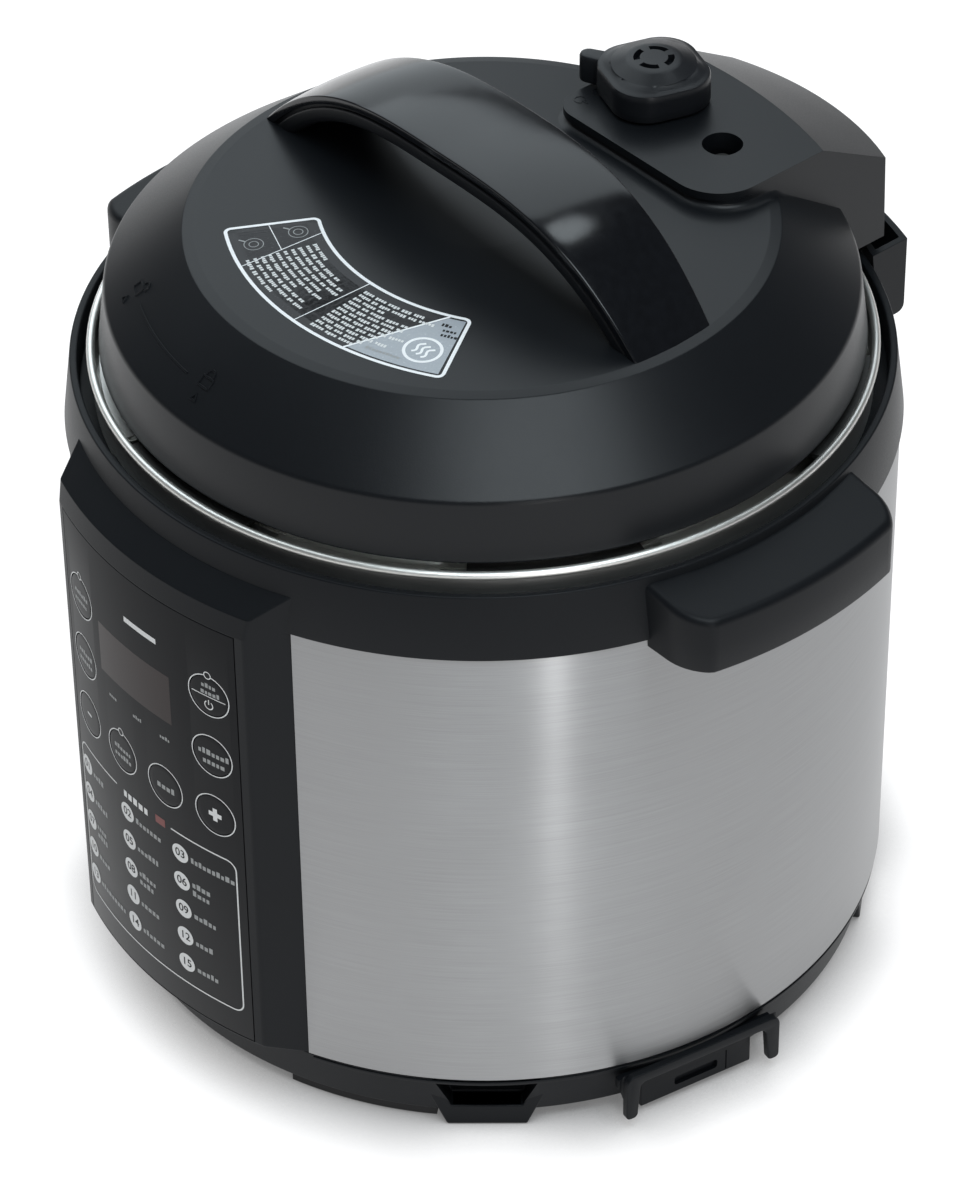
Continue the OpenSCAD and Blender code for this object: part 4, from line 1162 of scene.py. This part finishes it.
lid_shell()
deck()
lid_handle()
valve()
steel_jacket()
collar()
side_handle(1)
side_handle(-1)
base()
ladle_holder()
pots()
panel_frame()
overlay()
panel_graphics()
label()
cone_marks()
dew_cup()
inlet()


# ---- stage, light and camera


def floor():
    mat = bpy.data.materials.new("floor")
    t, bsdf = nodes_of(mat)
    noise = node(t, "TexNoise", {"Scale": 3.0})
    ramp = node(t, "ValToRGB", feeds={"Fac": noise.outputs["Fac"]})
    ramp.color_ramp.elements[0].color = (0.14, 0.14, 0.145, 1)
    ramp.color_ramp.elements[1].color = (0.16, 0.16, 0.165, 1)
    t.links.new(ramp.outputs["Color"], bsdf.inputs["Base Color"])
    bsdf.inputs["Roughness"].default_value = 0.9
    bsdf.inputs["Specular IOR Level"].default_value = 0.1
    # Painted contact shadow: ambient occlusion dims the floor's glow close to the cooker
    painted_contact_shadow = node(t, "AmbientOcclusion", {"Distance": 0.028})
    painted_contact_shadow.samples = 8
    glow_with_painted_shadow = node(t, "MapRange", {"From Min": 0.25, "From Max": 0.95, "To Min": 0.15, "To Max": 1.0},
                {"Value": painted_contact_shadow.outputs["AO"]})
    t.links.new(glow_with_painted_shadow.outputs["Result"], bsdf.inputs["Emission Strength"])
    bsdf.inputs["Emission Color"].default_value = (1.0, 1.0, 1.0, 1)
    me = bpy.data.meshes.new("floor")
    size = 8.0
    me.from_pydata([(x, y, -0.0003) for x, y in rectangle(-size, -size, size, size)], [], [(0, 1, 2, 3)])
    ob = add_object("floor", me)
    me.materials.append(mat)


def world():
    w = bpy.data.worlds.new("studio")
    bpy.context.scene.world = w
    w.use_nodes = True
    t = w.node_tree
    split = node(t, "SeparateXYZ", feeds={0: node(t, "TexCoord").outputs["Generated"]})
    ramp = node(t, "ValToRGB", feeds={"Fac": split.outputs["Z"]})
    stops = ((0.0, 0.30), (0.06, 0.24), (0.30, 0.12), (0.60, 0.09), (1.0, 0.09))
    e = ramp.color_ramp.elements
    while len(e) < len(stops):
        e.new(0.5)
    for k, (pos, v) in enumerate(stops):
        e[k].position = pos
        e[k].color = (v, v, v * 1.02, 1)
    bg = t.nodes["Background"]
    t.links.new(ramp.outputs["Color"], bg.inputs["Color"])
    bg.inputs["Strength"].default_value = 1.0


def area_light(name, place, w, h, radiance, aim=(0, 0, 0.16), round_=False, tone=(0.86, 0.95, 1.0)):
    """Rectangular or round soft light of a given surface brightness."""
    light = bpy.data.lights.new(name, "AREA")
    light.shape = "ELLIPSE" if round_ else "RECTANGLE"
    light.size = w
    light.size_y = h
    light.energy = radiance * math.pi * w * h * (math.pi / 4 if round_ else 1)
    light.color = tone
    ob = add_object(name, light)
    ob.location = place
    ob.rotation_euler = (Vector(aim) - Vector(place)).to_track_quat("-Z", "Y").to_euler()


def toward(azimuth, elevation, distance):
    e = rad(elevation)
    return polar(distance * math.cos(e), azimuth, 0.2 + distance * math.sin(e))


def camera():
    cam = bpy.data.cameras.new("camera")
    ob = add_object("camera", cam)
    ob.location = (1.07555, -0.90891, 1.26428)
    look = Vector((0, 0, 0.12479)) - ob.location
    ob.rotation_mode = "QUATERNION"
    ob.rotation_quaternion = look.to_track_quat("-Z", "Y") @ Quaternion(Vector((0, 0, 1)), rad(-0.7))
    cam.lens = 150.944
    cam.sensor_fit = "VERTICAL"
    cam.sensor_height = 36.0
    cam.shift_x = -0.003723
    cam.clip_start = 0.05
    cam.clip_end = 50
    cam.dof.use_dof = False
    bpy.context.scene.camera = ob


floor()
world()
area_light("overhead", (-2.1, 0.80, 2.3), 3.4, 3.2, 2.0, aim=(-2.1, 0.80, 0))
area_light("hot_spot", toward(92, 65, 2.2), 0.40, 0.40, 5.5, round_=True)
area_light("front_top", toward(-19, 64, 2.2), 1.5, 1.1, 5.8)
area_light("strip", toward(-24, 10, 2.6), 0.13, 2.2, 12.5, tone=(1.0, 1.0, 1.0))
area_light("rear_side", toward(150, 14, 2.6), 1.4, 1.2, 1.0)
camera()
bpy.context.scene.view_settings.view_transform = "Standard"
